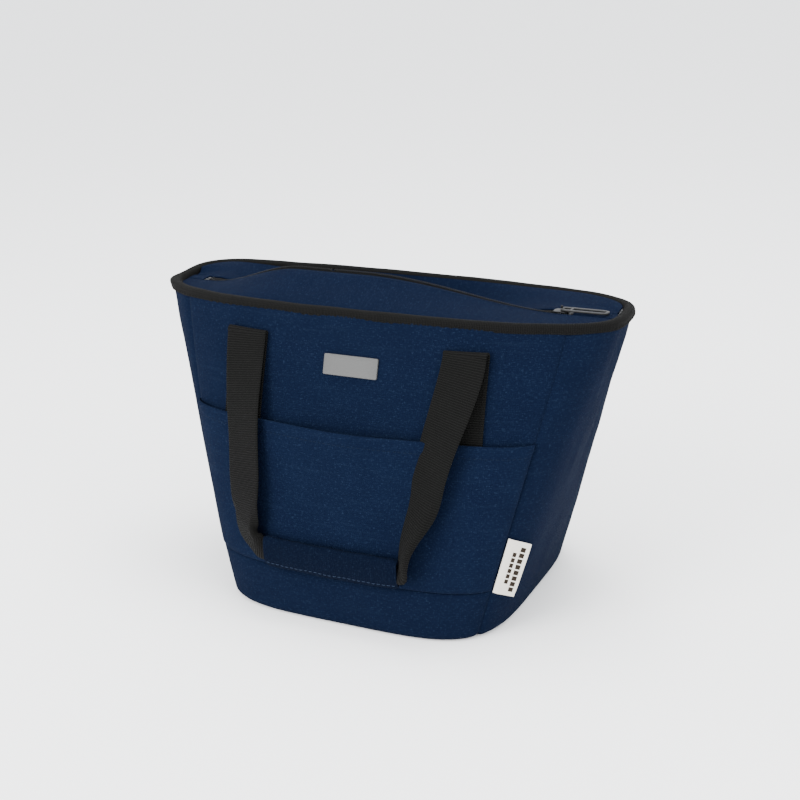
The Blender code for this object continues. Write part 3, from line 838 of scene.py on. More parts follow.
def makeLining():
    # the lining is one bag: film on the foam, creased a little, with a floor sewn in
    inset = shell["canvas"] + shell["foam"] + 2 * shell["gap"]
    floor = shell["foamFoot"]
    knee = np.linspace(floor + shell["liningOver"], shell["foamKnee"], 6)[:-1]
    h = np.concatenate([knee, np.linspace(shell["foamKnee"], shell["liningTop"], 60)])
    h, angle = np.meshgrid(h, turns(220), indexing="ij")
    a, b, n = section(h)
    girth = angle * 90 * mm
    broad, narrow = ripple(girth, h, 45 * mm, 31), ripple(girth, h, 17 * mm, 32)
    crease = np.maximum(0.5 * mm * broad + 0.3 * mm * narrow + 0.3 * mm, 0)
    crease = inset + crease * ease((h - floor) / (10 * mm)) * ease((0.2 - h) / (12 * mm))
    walls = squared(np.concatenate([roundedRing(a - crease, b - crease, n, angle), h[..., None]], 2))
    rings = [walls[0] * (k, k, 1) for k in np.linspace(0.03, 1, 24)[:-1]]
    whole = np.concatenate([np.stack(rings), walls], 0)
    whole[:24, :, 2] += 0.4 * mm * ripple(whole[:24, :, 0], whole[:24, :, 1], 50 * mm, 33)
    toward = normalsOf(whole)
    toward *= np.sign((toward[-20] * walls[-20] * (1, 1, 0)).sum())
    inner = whole - toward * shell["lining"]
    place = measured(whole)
    place[:23] = wrapped(whole[..., :2])[:23]
    piece = slab("liningFilm", whole, inner, silverFilm, loopCols=True, sharp=60, place=place)
    # the ring left round the middle of the floor is narrow, so a small disc of film closes it
    lift = np.array([0, 0, 0.02 * mm])
    ring = np.stack([whole[0] * (1.2, 1.2, 1) - lift, inner[0] * (1.2, 1.2, 1) + lift])
    fit(carried("liningPatch", ring, silverFilm, sharp=60), "bag", "lining")
    fit(piece, "bag", "lining", "lining")
    declareCloth(whole)


makeShell()
ovalPlate("baseCanvas", 0.0, 0.8 * mm, 0.0, 0.9 * mm, 0.45 * mm, navyCanvas, "canvas", "base_panel")
baseFoam = ovalPlate("foamBase", 1.6 * mm, 1.3 * mm, 3.2 * mm, 7.2 * mm, 1.2 * mm,
                     whiteFoam, "foam", "foam_base")
makeFoam()
makeLining()
print("shell, foam and lining made")


# Rim binding: tape folded over the raw edges

rim = {
    "low": 203.4 * mm,
    "top": 209.2 * mm,
    "outside": -1.1 * mm,
    "inside": 6.7 * mm,
    "tape": 0.8 * mm,
    "crown": 2.9 * mm,  # height of the rounded top
    "waver": 0.45 * mm,
    "ear": 3.2 * mm,  # a flare of loose tape at the left end
    "earMiddle": -14 * mm,
    "earLong": 9 * mm,
    "pucker": 0.10 * mm,
    "puckers": 130,
    "waveLong": 45 * mm,
    "waveCircle": 170 * mm,
    "stations": 620,
}


def rimPath(stations):
    # the rim's outline at even steps, starting from the middle of the right side
    a, b, n = section(shell["height"])
    ring = roundedRing(a, b, n, np.linspace(0, 2 * math.pi, 2881))
    path = squared(np.concatenate([ring, np.full((len(ring), 1), shell["height"])], 1))
    return walked(path, np.linspace(0, lengthsOf(path)[-1], stations + 1)[:-1])


def makeBinding():
    # profile: up the outside, over half an oval, down the inside, then back under at the tape's thickness
    stations, low, crown, tape = rim["stations"], rim["low"], rim["crown"], rim["tape"]
    path = rimPath(stations)
    ahead = unit(np.roll(path, -1, 0) - np.roll(path, 1, 0))
    outward = np.stack([ahead[:, 1], -ahead[:, 0], np.zeros(stations)], 1)
    walk = turns(stations)
    x, y = np.cos(walk) * rim["waveCircle"], np.sin(walk) * rim["waveCircle"]
    wave = [ripple(x, y + k, rim["waveLong"], 41 + k) for k in range(3)]
    springing = rim["top"] - crown
    middle, half = (rim["inside"] + rim["outside"]) / 2, (rim["inside"] - rim["outside"]) / 2
    arc = np.linspace(math.pi, 0, 13)
    straight = np.linspace(0, 1, 5)[:-1]
    outerIn = np.concatenate([0 * straight + rim["outside"], middle + half * np.cos(arc),
                              0 * straight + rim["inside"]])
    outerUp = np.concatenate([low + straight * (springing - low), springing + crown * np.sin(arc),
                              springing - (straight + 0.25) * (springing - low)])
    innerIn = middle + (outerIn - middle) * (1 - tape / half)
    innerUp = np.where(outerUp > springing, springing + (outerUp - springing) * (1 - tape / crown), outerUp)
    inset = np.concatenate([outerIn, innerIn[::-1]])
    up = np.concatenate([outerUp, innerUp[::-1]])
    lowness = np.clip((springing - up) / (springing - low), 0, 1)
    outside = inset < middle
    spread = rim["waver"] * (0.5 + 0.5 * wave[0])[:, None] * lowness * outside
    sag = rim["waver"] * (wave[1][:, None] * lowness + wave[2][:, None] * 0.35)
    pucker = rim["pucker"] * np.sin(walk * rim["puckers"])[:, None] * lowness * outside
    ear = rim["ear"] * np.exp(-((path[:, 1] - rim["earMiddle"]) / rim["earLong"]) ** 2) * (path[:, 0] < 0)
    flare = ear[:, None] * np.clip((up - low) / (rim["top"] - low), 0, 1) * outside
    points = path[:, None] - outward[:, None] * (inset - spread - pucker - flare)[..., None]
    points[..., 2] = up + sag + (path[:, 2] - shell["height"])[:, None]
    lengths = np.linspace(0, lengthsOf(path)[-1] * stations / (stations - 1), stations + 1)
    around = np.concatenate([[0], np.cumsum(np.hypot(np.diff(inset), np.diff(up)))])
    around = np.concatenate([around, around[-1:] + tape])
    place = np.stack(np.meshgrid(around, lengths), 2)
    binding = carried("rimBinding", points, bindingBlack, loopPath=True, sharp=60, place=place)
    fit(binding, "bag", "binding", "rim_binding")
    line = np.concatenate([points[:, 1], points[:1, 1]]) + np.array([0, 0, 0.3 * mm])
    out = np.concatenate([outward, outward[:1]])
    row = stitches("bindingStitches", line, out, blackThread, length=2.4 * mm, gap=0.8 * mm, thread=0.25 * mm)
    fit(row, "bag", "binding")


makeBinding()
print("binding made")

# Front pocket

pocket = {
    "foot": 36 * mm,
    "hem": 136 * mm,
    "gape": 5.5 * mm,
    "gapeHalfWidth": 70 * mm,
    "anchorFoot": 124 * mm,
    "over": 3.3 * mm,  # room for the sewn straps and the hem under the mouth
    "ease": 14 * mm,
    "facing": 11 * mm,
    "facingSheet": 0.5 * mm,
    "hemFold": 0.5 * mm,  # extra thickness where the hem is turned
    "stitchDrop": 8 * mm,
    "hemRows": 126 * mm,  # rows are closer above this height
    "lip": 1.2 * mm,
    "pressed": 0.45 * mm,
    "belly": 1.2 * mm,
    "bellyHeight": 52 * mm,
    "bellyTall": 18 * mm,
    "slackOver": 30 * mm,
    "soft": 0.5 * mm,
    "softLong": 60 * mm,
}


def pocketOff(x, height):
    # how far the pocket stands off the front: it bellies out in the middle of its mouth
    tall = pocket["hem"] - pocket["foot"]
    up = np.clip((height - pocket["foot"]) / tall, 0, 1)
    under = np.minimum(1, up * tall / (pocket["anchorFoot"] - pocket["foot"] - 6 * mm))
    ends = np.clip((sideReach("front", height) - np.abs(x)) / pocket["ease"], 0, 1)
    side = np.cos(math.pi / 2 * np.minimum(1, np.abs(x) / pocket["gapeHalfWidth"])) ** 2
    return shell["gap"] + under * pocket["over"] * np.sqrt(ends) + up**1.5 * pocket["gape"] * side


def pocketGrid(heights, columns, reach=1.0, tuck=True):
    h, u = np.meshgrid(heights, crowded(-reach, reach, columns), indexing="ij")
    base = skin("front", u, h)
    toward = facingOut(base, base * (1, 1, 0))
    lift = billow("front", u, h)
    if tuck:
        lift = lift - seamTuck(u, h, sideReach("front", h), pocket["foot"], None)
    slack = ease((h - pocket["foot"]) / pocket["slackOver"]) * (1 - u**4)
    soft = pocket["soft"] * slack * ripple(base[..., 0], h * 0.8, pocket["softLong"], 55)
    sagging = np.exp(-(((h - pocket["bellyHeight"]) / pocket["bellyTall"]) ** 2))
    grid = base + toward * (lift + soft + pocket["belly"] * (1 - u**6) * sagging)[..., None]
    grid[..., 1] -= pocketOff(base[..., 0], h)
    return grid, toward


def makePocket():
    heights = np.concatenate([crowded(pocket["foot"], pocket["hemRows"], 44, 0.85)[:-1],
                              np.linspace(pocket["hemRows"], pocket["hem"], 16)])
    inner, toward = pocketGrid(heights, 130)
    hemDown = pocket["hem"] - heights
    fold = pocket["hemFold"] * ease((pocket["stitchDrop"] + 2 * mm - hemDown) / (2 * mm))
    pressed = pocket["pressed"] * np.exp(-((hemDown - pocket["stitchDrop"]) / (1.1 * mm)) ** 2)
    fromLip = np.clip(1 - hemDown / pocket["lip"], 0, 1)
    lip = np.sqrt(1 - fromLip**2)
    thick = (shell["canvas"] + fold - pressed) * (0.25 + 0.75 * lip)
    outer = inner + toward * thick[:, None, None]
    piece = slab("pocketCanvas", outer, inner, pocketCanvas, sharp=70)
    fit(piece, "bag", "canvas", "front_pocket")
    declareCloth(outer)
    row = np.abs(heights - (pocket["hem"] - pocket["stitchDrop"])).argmin()
    sewn = stitches("pocketTopstitch", outer[row, 4:-4], toward[row, 4:-4], navyThread, length=2.7 * mm,
                    gap=0.9 * mm, thread=0.2 * mm)
    fit(sewn, "bag", "canvas")
    heights = np.linspace(pocket["hem"] - pocket["facing"], pocket["hem"] - 1.0 * mm, 7)
    inner, toward = pocketGrid(heights, 90, 0.90, tuck=False)
    back = inner - toward * 0.2 * mm
    facing = slab("pocketFacing", back, back - toward * pocket["facingSheet"], pocketCanvas, sharp=70)
    fit(facing, "bag", "canvas", "pocket_hem")
    declareCloth(back)


makePocket()
print("pocket made")

# Handles: ribbed webbing that folds over at the top and runs through a canvas grip

handle = {
    "width": 30 * mm,
    "sheet": 1.6 * mm,
    "anchorX": 81 * mm,
    "foldHeight": 191 * mm,
    "anchorFoot": 124 * mm,
    "gripHeight": 50 * mm,
    "gripHalf": 51 * mm,
    "gripShift": -3 * mm,
    "leftCorner": 17 * mm,
    "rightCorner": 10 * mm,
    "tipOut": 3.5 * mm,  # its turned edge clears the pocket
    "tipIn": 7 * mm,  # how far the right leg swings in just above the grip
    "legRush": 0.85,  # below 1, the legs lean in early
    "foldOut": 3.7 * mm,
    "fullOut": 7.6 * mm,
    "step": 1.6 * mm,
    "tipFrom": 0.68,  # share of the leg's height where it starts to swing in
    "margin": 0.20,  # each margin's part of the width
    "marginTurn": 3.0,  # how far it folds back, in radians
    "narrowed": 0.38,  # of the width, in the right leg's tip
    "gripFlat": (0.24, 0.68),  # the strap inside the grip loses so much of its width and of its thickness
    "rightLean": (0.38, 0.60),  # each leg turns about its own length, early and then near the grip
    "leftLean": (0.30, 0.25),
}


def frontY(x, height):
    return -outlineY(x, height)


def strapY(height):
    # the middle of the hanging strap: it stands further off as it passes over the pocket's hem
    inner = handle["anchorX"] - handle["width"] / 2
    fold = handle["foldHeight"]
    down = fold - height
    out = handle["foldOut"] + (handle["fullOut"] - handle["foldOut"]) * ease(down / (fold - pocket["hem"]))
    inward = 1 - ease(down / (fold - handle["gripHeight"] - handle["leftCorner"]))
    return frontY(inner * inward, height) - out


foldY = float(strapY(handle["foldHeight"]))
flips = {"front": np.array([1, 1, 1]), "rear": np.array([1, -1, 1])}  # the rear handle mirrors the front one


def legPath(sign):
    # down one leg and round its corner, to the end of the grip
    turnRadius = handle["leftCorner" if sign < 0 else "rightCorner"]
    height = np.linspace(handle["foldHeight"], handle["gripHeight"] + turnRadius, 60)
    end = handle["gripShift"] + sign * handle["gripHalf"]
    corner = end + sign * turnRadius
    share = (handle["foldHeight"] - height) / (handle["foldHeight"] - handle["gripHeight"] - turnRadius)
    x = sign * handle["anchorX"] + (corner - sign * handle["anchorX"]) * ease(share ** handle["legRush"])
    x = x - sign * handle["tipIn"] * ease((share - handle["tipFrom"]) / (1 - handle["tipFrom"])) * (sign > 0)
    bend = np.linspace(0, math.pi / 2, 16)[1:]
    reach = turnRadius - handle["tipIn"] * (sign > 0)
    x = np.concatenate([x, x[-1] - sign * reach * (1 - np.cos(bend))])
    height = np.concatenate([height, handle["gripHeight"] + turnRadius * (1 - np.sin(bend))])
    return np.stack([x, strapY(height), height], 1)


def strapProfile(width, sheet, flapShare, flapTurn):
    # the strap's section at every station: a flat middle, and two margins that fold back behind it.
    # flapShare is each margin's part of the width, and flapTurn how far it has folded, in radians
    flat = width * (1 - 2 * flapShare)
    mid = np.stack([flat[:, None] * (np.linspace(-0.5, 0.5, 11)[None]), np.zeros((len(flat), 11))], 2)
    flap = (width * flapShare)[:, None]
    radius = np.maximum(flap / np.maximum(flapTurn, 1e-3)[:, None] * 0.35, 1.05 * sheet)
    bendLength = np.minimum(radius * flapTurn[:, None], flap * 0.95)
    turned = bendLength / radius
    s = flap * np.linspace(0, 1, 9)
    inBend = np.minimum(s, bendLength)
    beyond = s - inBend
    px = radius * np.sin(inBend / radius) + beyond * np.cos(turned)
    py = radius * (1 - np.cos(inBend / radius)) + beyond * np.sin(turned)
    right = np.stack([flat[:, None] / 2 + px, py], 2)[:, 1:]
    left = np.stack([-flat[:, None] / 2 - px, py], 2)[:, :0:-1]
    line = np.concatenate([left, mid, right], 1)
    d = np.gradient(line, axis=1)
    normal = unit(np.stack([d[..., 1], -d[..., 0]], 2))
    taper = np.ones(line.shape[1])
    taper[[0, -1]] = 0.35
    taper[[1, -2]] = 0.85
    half = sheet / 2 * taper[None, :, None]
    return np.concatenate([line + normal * half, (line - normal * half)[:, ::-1]], 1)


def makeWebbing(side):
    left, right = legPath(-1), legPath(1)
    path = np.concatenate([left, right[::-1]])
    total = lengthsOf(path)[-1]
    stations = np.linspace(0, total, int(total / handle["step"]))
    path = walked(path, stations)
    for _ in range(3):  # smoothed, each point by its neighbours
        path[1:-1] = (path[:-2] + 2 * path[1:-1] + path[2:]) / 4
    # gone is 0 at the fold and 1 at the grip's end
    gone = np.clip(np.minimum(stations, total - stations) / lengthsOf(left)[-1], 0, 1.2)
    onRight = stations > total / 2
    closing = np.where(onRight, ease((gone - 0.50) / 0.42), ease((gone - 0.72) / 0.30))
    tip = ease((gone - 0.78) / 0.2) * (1 - ease((gone - 1.06) / 0.08))
    width = handle["width"] * (1 - handle["narrowed"] * onRight * tip)
    share = np.full(len(stations), handle["margin"])
    profile = strapProfile(width, handle["sheet"], share, closing * handle["marginTurn"])
    # inside the grip the folded strap is pressed flat
    inGrip = ease((gone - 0.955) / 0.05)[:, None]
    profile = profile * np.stack([1 - flat * inGrip for flat in handle["gripFlat"]], 2)
    ahead = unit(np.gradient(path, axis=0))
    front = np.array([0, -1.0, 0])
    outward = unit(front - ahead * (ahead @ front)[:, None])
    acrossWay = unit(np.cross(ahead, outward))
    # the legs are square to the bag again inside the grip
    (early, late), (leftEarly, leftLate) = handle["rightLean"], handle["leftLean"]
    lean = np.where(onRight, early * ease(gone / 0.45) + late * ease((gone - 0.55) / 0.32),
                    -leftEarly * ease(gone / 0.5) - leftLate * ease((gone - 0.6) / 0.3))
    lean = (lean * (1 - ease((gone - 0.92) / 0.09)))[:, None]
    path[:, 1] -= handle["tipOut"] * ease((gone - 0.6) / 0.3) * (1 - ease((gone - 0.9) / 0.09)) * onRight
    turned = acrossWay * np.cos(lean) + outward * np.sin(lean)
    faced = outward * np.cos(lean) - acrossWay * np.sin(lean)
    points = path[:, None] + turned[:, None] * profile[..., :1] - faced[:, None] * profile[..., 1:]
    points = points * flips[side]
    around = np.concatenate([[0], np.cumsum(np.linalg.norm(np.diff(profile[0], axis=0), axis=1))])
    around = np.concatenate([around, around[-1:]])
    place = np.stack(np.meshgrid(around, np.concatenate([stations, stations[-1:]])), 2)
    web = carried(side + "Webbing", points, strapBlack, sharp=60, place=place)
    fit(web, side + "_handle", "webbing", side + "_handle_webbing")


def bothStraps():
    return (("Left", -handle["anchorX"]), ("Right", handle["anchorX"]))


def makeAnchors(side):
    for name, middle in bothStraps():
        heights = np.linspace(handle["anchorFoot"], handle["foldHeight"] - 0.4 * mm, 40)
        half = handle["width"] / 2
        h, x = np.meshgrid(heights, middle + crowded(-half, half, 15), indexing="ij")
        across = x / sideReach("front", h)
        cloth = skin("front", across, h)
        out = facingOut(cloth, cloth * (1, 1, 0))
        rise = shell["gap"] + (np.maximum(billow("front", across, h), 0) if side == "front" else 0.0)
        pressed = 0.25 * mm * np.exp(-((np.abs(x - middle) - half + 3 * mm) / (1.0 * mm)) ** 2)
        inner = cloth + out * (rise + 0 * h)[..., None]
        outer = cloth + out * (rise + handle["sheet"] - pressed)[..., None]
        flip = flips[side]
        place = measured(outer)[..., ::-1].copy()
        strap = slab(side + "Anchor" + name, outer * flip, inner * flip, strapBlack, sharp=70, place=place)
        fit(strap, "bag", "webbing", side + "_anchor_" + name.lower())
        # a box of stitches, two columns in from the edges
        box, up = (np.concatenate([g[2:-5, 2], g[-6, 2:-2], g[2:-5, -3][::-1], g[2, 2:-2][::-1]]) * flip
                   for g in (outer, out))
        sewn = stitches(side + "AnchorStitch" + name, box, up, blackThread, gap=0.8 * mm, thread=0.3 * mm)
        fit(sewn, "bag", "webbing")


def makeFolds(side):
    # the strap turns over between the sewn part and the hanging part: half an oval seen from its edge
    height, sheet = handle["foldHeight"], handle["sheet"]
    flip = flips[side]
    for name, middle in bothStraps():
        x = middle + crowded(-handle["width"] / 2, handle["width"] / 2, 13)
        x, t = np.meshgrid(x, np.linspace(0, 1, 17), indexing="xy")
        sewnY = frontY(x, height) - shell["gap"] - sheet / 2
        centre, half = (sewnY + foldY) / 2, (sewnY - foldY) / 2
        y = centre + half * np.cos(math.pi * t)
        z = height + (0.5 * mm + half * 0.75) * np.sin(math.pi * t) - 0.4 * mm * (1 - t)
        grid = np.stack([x, y, z], 2)
        out = normalsOf(grid)
        out *= np.sign(out[8, :, 2].sum())
        outer, inner = grid + out * sheet / 2, grid - out * sheet / 2
        place = measured(outer)[..., ::-1].copy()
        piece = slab(side + "Fold" + name, outer * flip, inner * flip, strapBlack, sharp=70, place=place)
        near = float(frontY(handle["anchorX"] - handle["width"] / 2, height)) - shell["gap"] - sheet / 2
        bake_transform(piece)


grip = {
    "tall": 21.0 * mm,
    "thick": 6.2 * mm,
    "sag": 1.0 * mm,
    "power": 2.7,
    "hollow": (0.62, 0.90),  # the inner face's part of the thickness and of the height
    "seam": 0.16,  # doubled cloth under the grip
    "lip": 0.10,
    "stitchTurn": 0.95,
}


def makeGrip(side):
    # a sleeve of canvas round the folded webbing: a flattened oval carried along the grip, open at its ends
    half = handle["gripHalf"] - shell["gap"]
    x = crowded(handle["gripShift"] - half, handle["gripShift"] + half, 90, 0.9)
    u = (x - handle["gripShift"]) / half
    middleY = float(strapY(handle["gripHeight"]))
    middleZ = handle["gripHeight"] - grip["sag"] * (1 - u**2)
    angle = turns(48)
    across, up = roundedRing(1, 1, grip["power"], angle).T
    uu, aa = np.meshgrid(x, angle, indexing="ij")
    soft = 1 + 0.05 * ripple(uu, aa * 12 * mm, 26 * mm, 71) + 0.03 * ripple(uu, aa * 12 * mm, 11 * mm, 72)
    lip = 1 - grip["lip"] * np.exp(-((1 - np.abs(u)) * half / (1.6 * mm)) ** 1.5)
    seam = 1 + grip["seam"] * np.exp(-((angle + math.pi / 2 - 2 * math.pi) / 0.22) ** 2)
    outY = grip["thick"] / 2 * across[None] * soft * lip[:, None]
    outZ = grip["tall"] / 2 * up[None] * (0.5 + 0.5 * soft) * lip[:, None] * seam[None]
    flip = flips[side]
    outer, inner = (np.stack([uu, middleY + outY * thin, middleZ[:, None] + outZ * low], 2) * flip
                    for thin, low in ((1, 1), grip["hollow"]))
    # the sleeve's canvas is darkened as painted shade
    sleeve = slab(side + "Grip", outer, inner, shadedGripCanvas, loopCols=True, sharp=70)
    fit(sleeve, side + "_handle", "canvas", side + "_grip_wrap")
    # the grip's stitches are in pale thread, which also paints the highlight along the grip's lower edge
    row = int(round(len(angle) * (math.pi + grip["stitchTurn"]) / (2 * math.pi)))
    line = outer[3:-3, row]
    out = np.tile(unit(np.array([0, across[row], up[row] * 0.4])) * flip, (len(line), 1))
    sewn = stitches(side + "GripStitches", line, out, paleThreadAndEdgeHighlight, gap=1.0 * mm, thread=0.28 * mm)
    fit(sewn, side + "_handle", "canvas")


for side in ("front", "rear"):
    makeWebbing(side)
    makeAnchors(side)
    makeFolds(side)
    makeGrip(side)
print("handles made")

# The top: two flaps with a zip between them, drawn up at the front and pushed down at the back

top = {
    "zipRight": 125 * mm,
    "zipLeft": -141 * mm,
    "raised": math.radians(24),
    "sunk": math.radians(55),
    "mouthRight": -15 * mm,
    "mouthLeft": -65 * mm,
    "hingeY": 43.8 * mm,
    "zipHeight": 207 * mm,
    "flapEnd": 163.5 * mm,
    "flapDepth": 43.5 * mm,
    "cut": 2.4 * mm,
    "edge": 5.0 * mm,
    "tape": 0.5 * mm,
    "tapeIn": 2.5 * mm,
    "tapeOut": 9.7 * mm,
    "toothPitch": 1.55 * mm,
    "split": -40 * mm,
    "tapeOver": 5 * mm,  # past the last teeth
    "bead": 0.25 * mm,
    "soft": 0.5 * mm,
    "turned": 0.35 * mm,  # how far the flap's edge is rolled down
    "stitchIn": 1.8 * mm,
    "tabPower": 0.22,
    "tabLonger": 7.5 * mm,
}


def mouth(x):
    right = ease((top["zipRight"] - x) / (top["zipRight"] - top["mouthRight"]))
    left = ease((x - top["zipLeft"]) / (top["mouthLeft"] - top["zipLeft"]))
    return np.minimum(right, left)


def flapPoint(front, x, fromMiddle, lift):
    # a point of the closed flap, swung about its hinge line by the mouth's share of the flap's swing
    angle = mouth(x) * (top["raised"] if front else -top["sunk"])
    along = top["hingeY"] - fromMiddle
    y = -top["hingeY"] + along * np.cos(angle) - lift * np.sin(angle)
    z = top["zipHeight"] + along * np.sin(angle) + lift * np.cos(angle)
    return np.stack([x, y if front else -y, z], -1)


def flapRoot(x):
    power = shell["topPower"]
    return top["flapDepth"] * np.maximum(1 - np.abs(x / top["flapEnd"]) ** power, 0) ** (1 / power)


def swing(piece, side, half, slotName, *nodes):
    # bakes the piece's placement into its mesh and hides its CAD parts; the points already hold the swing,
    # none at the zip's end and in full from the mouth's corner on
    side + "_flap_body"
    top["zip" + half]
    top["mouth" + half]
    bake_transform(piece)
    if nodes:
        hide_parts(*nodes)


def flapLayer(side, half, name, low, high, material, slotName, nodes):
    front = side == "front"
    end = top["flapEnd"] - top["cut"]
    x = np.linspace(top["split"], end, 110) if half == "Right" else np.linspace(-end, top["split"], 66)
    root = np.maximum(flapRoot(x), top["edge"] + 1 * mm)
    x, t = np.meshgrid(x, np.linspace(0, 1, 18), indexing="ij")
    away = top["edge"] + (root[:, None] - top["edge"]) * t
    window = ease(t / 0.15) * ease((1 - t) / 0.2)
    soft = np.maximum(top["soft"] * ripple(x, away, 55 * mm, 81 if front else 85) * window, -0.2 * mm)
    turned = top["turned"] * np.exp(-((away - top["edge"]) / (0.8 * mm)) ** 2)
    upper = flapPoint(front, x, away, high + soft - turned)
    lower = flapPoint(front, x, away, low + soft)
    if not front:
        upper, lower = (p + (squared(p) - p) * ease((t - 0.3) / 0.7)[..., None] for p in (upper, lower))
    piece = slab(side + name + half, upper, lower, material, sharp=70)
    swing(piece, side, half, slotName, *nodes)
    declareCloth(upper)
    return upper


def makeFlaps(side):
    front = side == "front"
    tape = top["tape"] / 2
    for half in ("Right", "Left"):
        # the right half stands for the whole CAD piece
        nodes = [[side + end] if half == "Right" else [] for end in ("_flap", "_flap_lining", "_zip_tape")]
        clothTop = tape + 1.3 * mm
        upper = flapLayer(side, half, "Flap", tape + 0.3 * mm, clothTop, navyCanvas, "canvas", nodes[0])
        flapLayer(side, half, "FlapLining", -tape - 0.8 * mm, -tape - 0.4 * mm, silverFilm, "lining",
                  nodes[1])
        xs = upper[:, 0, 0]
        xs = xs[(xs > top["zipLeft"] - 4 * mm) & (xs < top["zipRight"] + 4 * mm)]
        line, above = (flapPoint(front, xs, top["edge"] + top["stitchIn"] + 0 * xs, lift + 0 * xs)
                       for lift in (clothTop, clothTop + 10 * mm))
        sewn = stitches(side + "FlapStitches" + half, line, unit(above - line), navyThread, thread=0.26 * mm)
        swing(sewn, side, half, "canvas")
        # zip tape, with a thicker cord along the edge that holds the teeth
        low, high = ((top["split"], top["zipRight"] + top["tapeOver"]) if half == "Right" else
                     (top["zipLeft"] - top["tapeOver"], top["split"]))
        x, away = np.meshgrid(np.linspace(low, high, 90), np.linspace(top["tapeIn"], top["tapeOut"], 9),
                              indexing="ij")
        bead = top["bead"] * np.exp(-((away - top["tapeIn"] - 0.5 * mm) / (0.5 * mm)) ** 2)
        upper, lower = (flapPoint(front, x, away, way * (tape + bead)) for way in (1, -1))
        place = measured(upper)[..., ::-1].copy()
        strip = slab(side + "ZipTape" + half, upper, lower, zipTapeBlack, sharp=60, place=place)
        swing(strip, side, half, "zip_tape", *nodes[2])
        makeTeeth(side, half, low, high)


def makeTeeth(side, half, low, high):
    # each tooth is a rounded coil turn: a small block whose section is a squashed oval, with a head
    front = side == "front"
    pitch = top["toothPitch"]
    offset = 0.0 if front else pitch / 2
    first, last = math.ceil((low - offset) / pitch), math.floor((high - offset) / pitch)
    centre = np.arange(first, last + 1) * pitch + offset
    centre = centre[(centre > low + 0.3 * mm) & (centre < high - 0.3 * mm)]
    along = np.array([0.45, 0.75, 1.25, 1.9, 2.6, 2.75]) * mm  # distance from the zip's middle
    halfWidth = np.array([0.18, 0.46, 0.40, 0.34, 0.34, 0.2]) * mm
    halfHeight = np.array([0.35, 0.85, 0.95, 1.0, 0.95, 0.6]) * mm
    angle = turns(8) + math.pi / 8
    x = centre[:, None, None] + (halfWidth[:, None] * np.cos(angle))[None]
    away = np.broadcast_to(along[None, :, None], x.shape)
    lift = np.broadcast_to((halfHeight[:, None] * np.sin(angle))[None], x.shape)
    teeth = tinyTubes(side + "Teeth" + half, flapPoint(front, x, away, lift), teethPlastic, 40)
    swing(teeth, side, half, "zip_teeth", *([side + "_zip_teeth"] if half == "Right" else []))


for side in ("front", "rear"):
    makeFlaps(side)
print("flaps and zip made")


def cushioned(name, node, material, slotName, power=0.35, longer=0.0):
    # a block that fills its CAD node's box, with corners rounded by a superellipse in all three directions
    low, high = boxOf(node)
    middle, half = (low + high) / 2, (high - low) / 2
    half[0] += longer / 2  # at the end away from the bag's middle
    middle[0] += math.copysign(longer / 2, middle[0])
    u, v = np.meshgrid(np.linspace(-math.pi / 2 + 0.04, math.pi / 2 - 0.04, 17), turns(32), indexing="ij")
    level = bent(np.cos(u), power)
    x, y = level * bent(np.cos(v), power), level * bent(np.sin(v), power)
    rings = middle + np.stack([x, y, bent(np.sin(u), power)], 2) * half
    piece = carried(name, rings, material, sharp=60, place=wrapped(rings[..., :2]))
    fit(piece, "bag", slotName, node)


for end in ("Right", "Left"):
    cushioned("zipTab" + end, "zip_tab_" + end.lower(), navyCanvas, "canvas", top["tabPower"],
              top["tabLonger"])
cushioned("zipBottomStop", "zip_bottom_stop", gunMetal, "zip_metal")
cushioned("zipTopStopFront", "zip_top_stop_front", gunMetal, "zip_metal")
cushioned("zipTopStopRear", "zip_top_stop_rear", gunMetal, "zip_metal")

# Slider, bail and puller

pull = {
    "plate": 0.8 * mm,
    "plateEdge": 0.35 * mm,
    "platePower": 3.2,
    "waist": 0.14,  # the slider narrows in its middle
    "crown": 0.25 * mm,
    "neckHalf": (0.9 * mm, 0.32 * mm),
    "neckAt": 1.1 * mm,  # from the slider's end
    "wire": 0.55 * mm,
    "barWidth": 2.2 * mm,
    "barSheet": 1.4 * mm,
    "crossAt": 7.6 * mm,  # from the puller's end
    "crossHalf": 0.9 * mm,
}


def sliderPlate(place, half, waist, crown=0.0):
    ring = roundedRing(half[0], half[1], pull["platePower"], turns(40))
    ring[:, 1] *= 1 - waist * np.cos(np.clip(ring[:, 0] / half[0], -1, 1) * math.pi / 2) ** 2
    return plateRings(ring, pull["plate"] / 2, pull["plateEdge"], 6, 0.03, crown) + place


def joined(name, parts, material, body, slotName, *nodes):
    # several closed shapes as one mesh
    points, faces, uv, start = [], [], [], 0
    for rings in parts:
        rows, cols = rings.shape[:2]
        size = rows * cols
        every = np.concatenate([rings.reshape(-1, 3), rings[:1].mean(1), rings[-1:].mean(1)])
        c = np.arange(cols)
        far = size - cols
        shape = [facesOf(rows, cols, True)[0], np.stack([np.full(cols, size), (c + 1) % cols, c], 1),
                 np.stack([np.full(cols, size + 1), far + c, far + (c + 1) % cols], 1)]
        way = 1 if volumeOf(every, shape) > 0 else -1
        faces += [f[:, ::way] + start for f in shape]
        uv += [np.zeros((*f.shape, 2)) for f in shape]
        points.append(every)
        start += len(every)
    return fit(newPiece(name, np.concatenate(points), faces, uv, material, 45), body, slotName, *nodes)


def tube(path, across, thick, wide, closed=False, power=2.0, sides=14):
    # an oval or rounded bar carried along a path; across is the direction of its thickness
    section = roundedRing(wide, thick, power, turns(sides))
    ahead = unit(np.roll(path, -1, 0) - np.roll(path, 1, 0) if closed else np.gradient(path, axis=0))
    side = unit(np.cross(ahead, across))
    up = unit(np.cross(side, ahead))
    return path[:, None] + side[:, None] * section[None, :, :1] + up[:, None] * section[None, :, 1:]


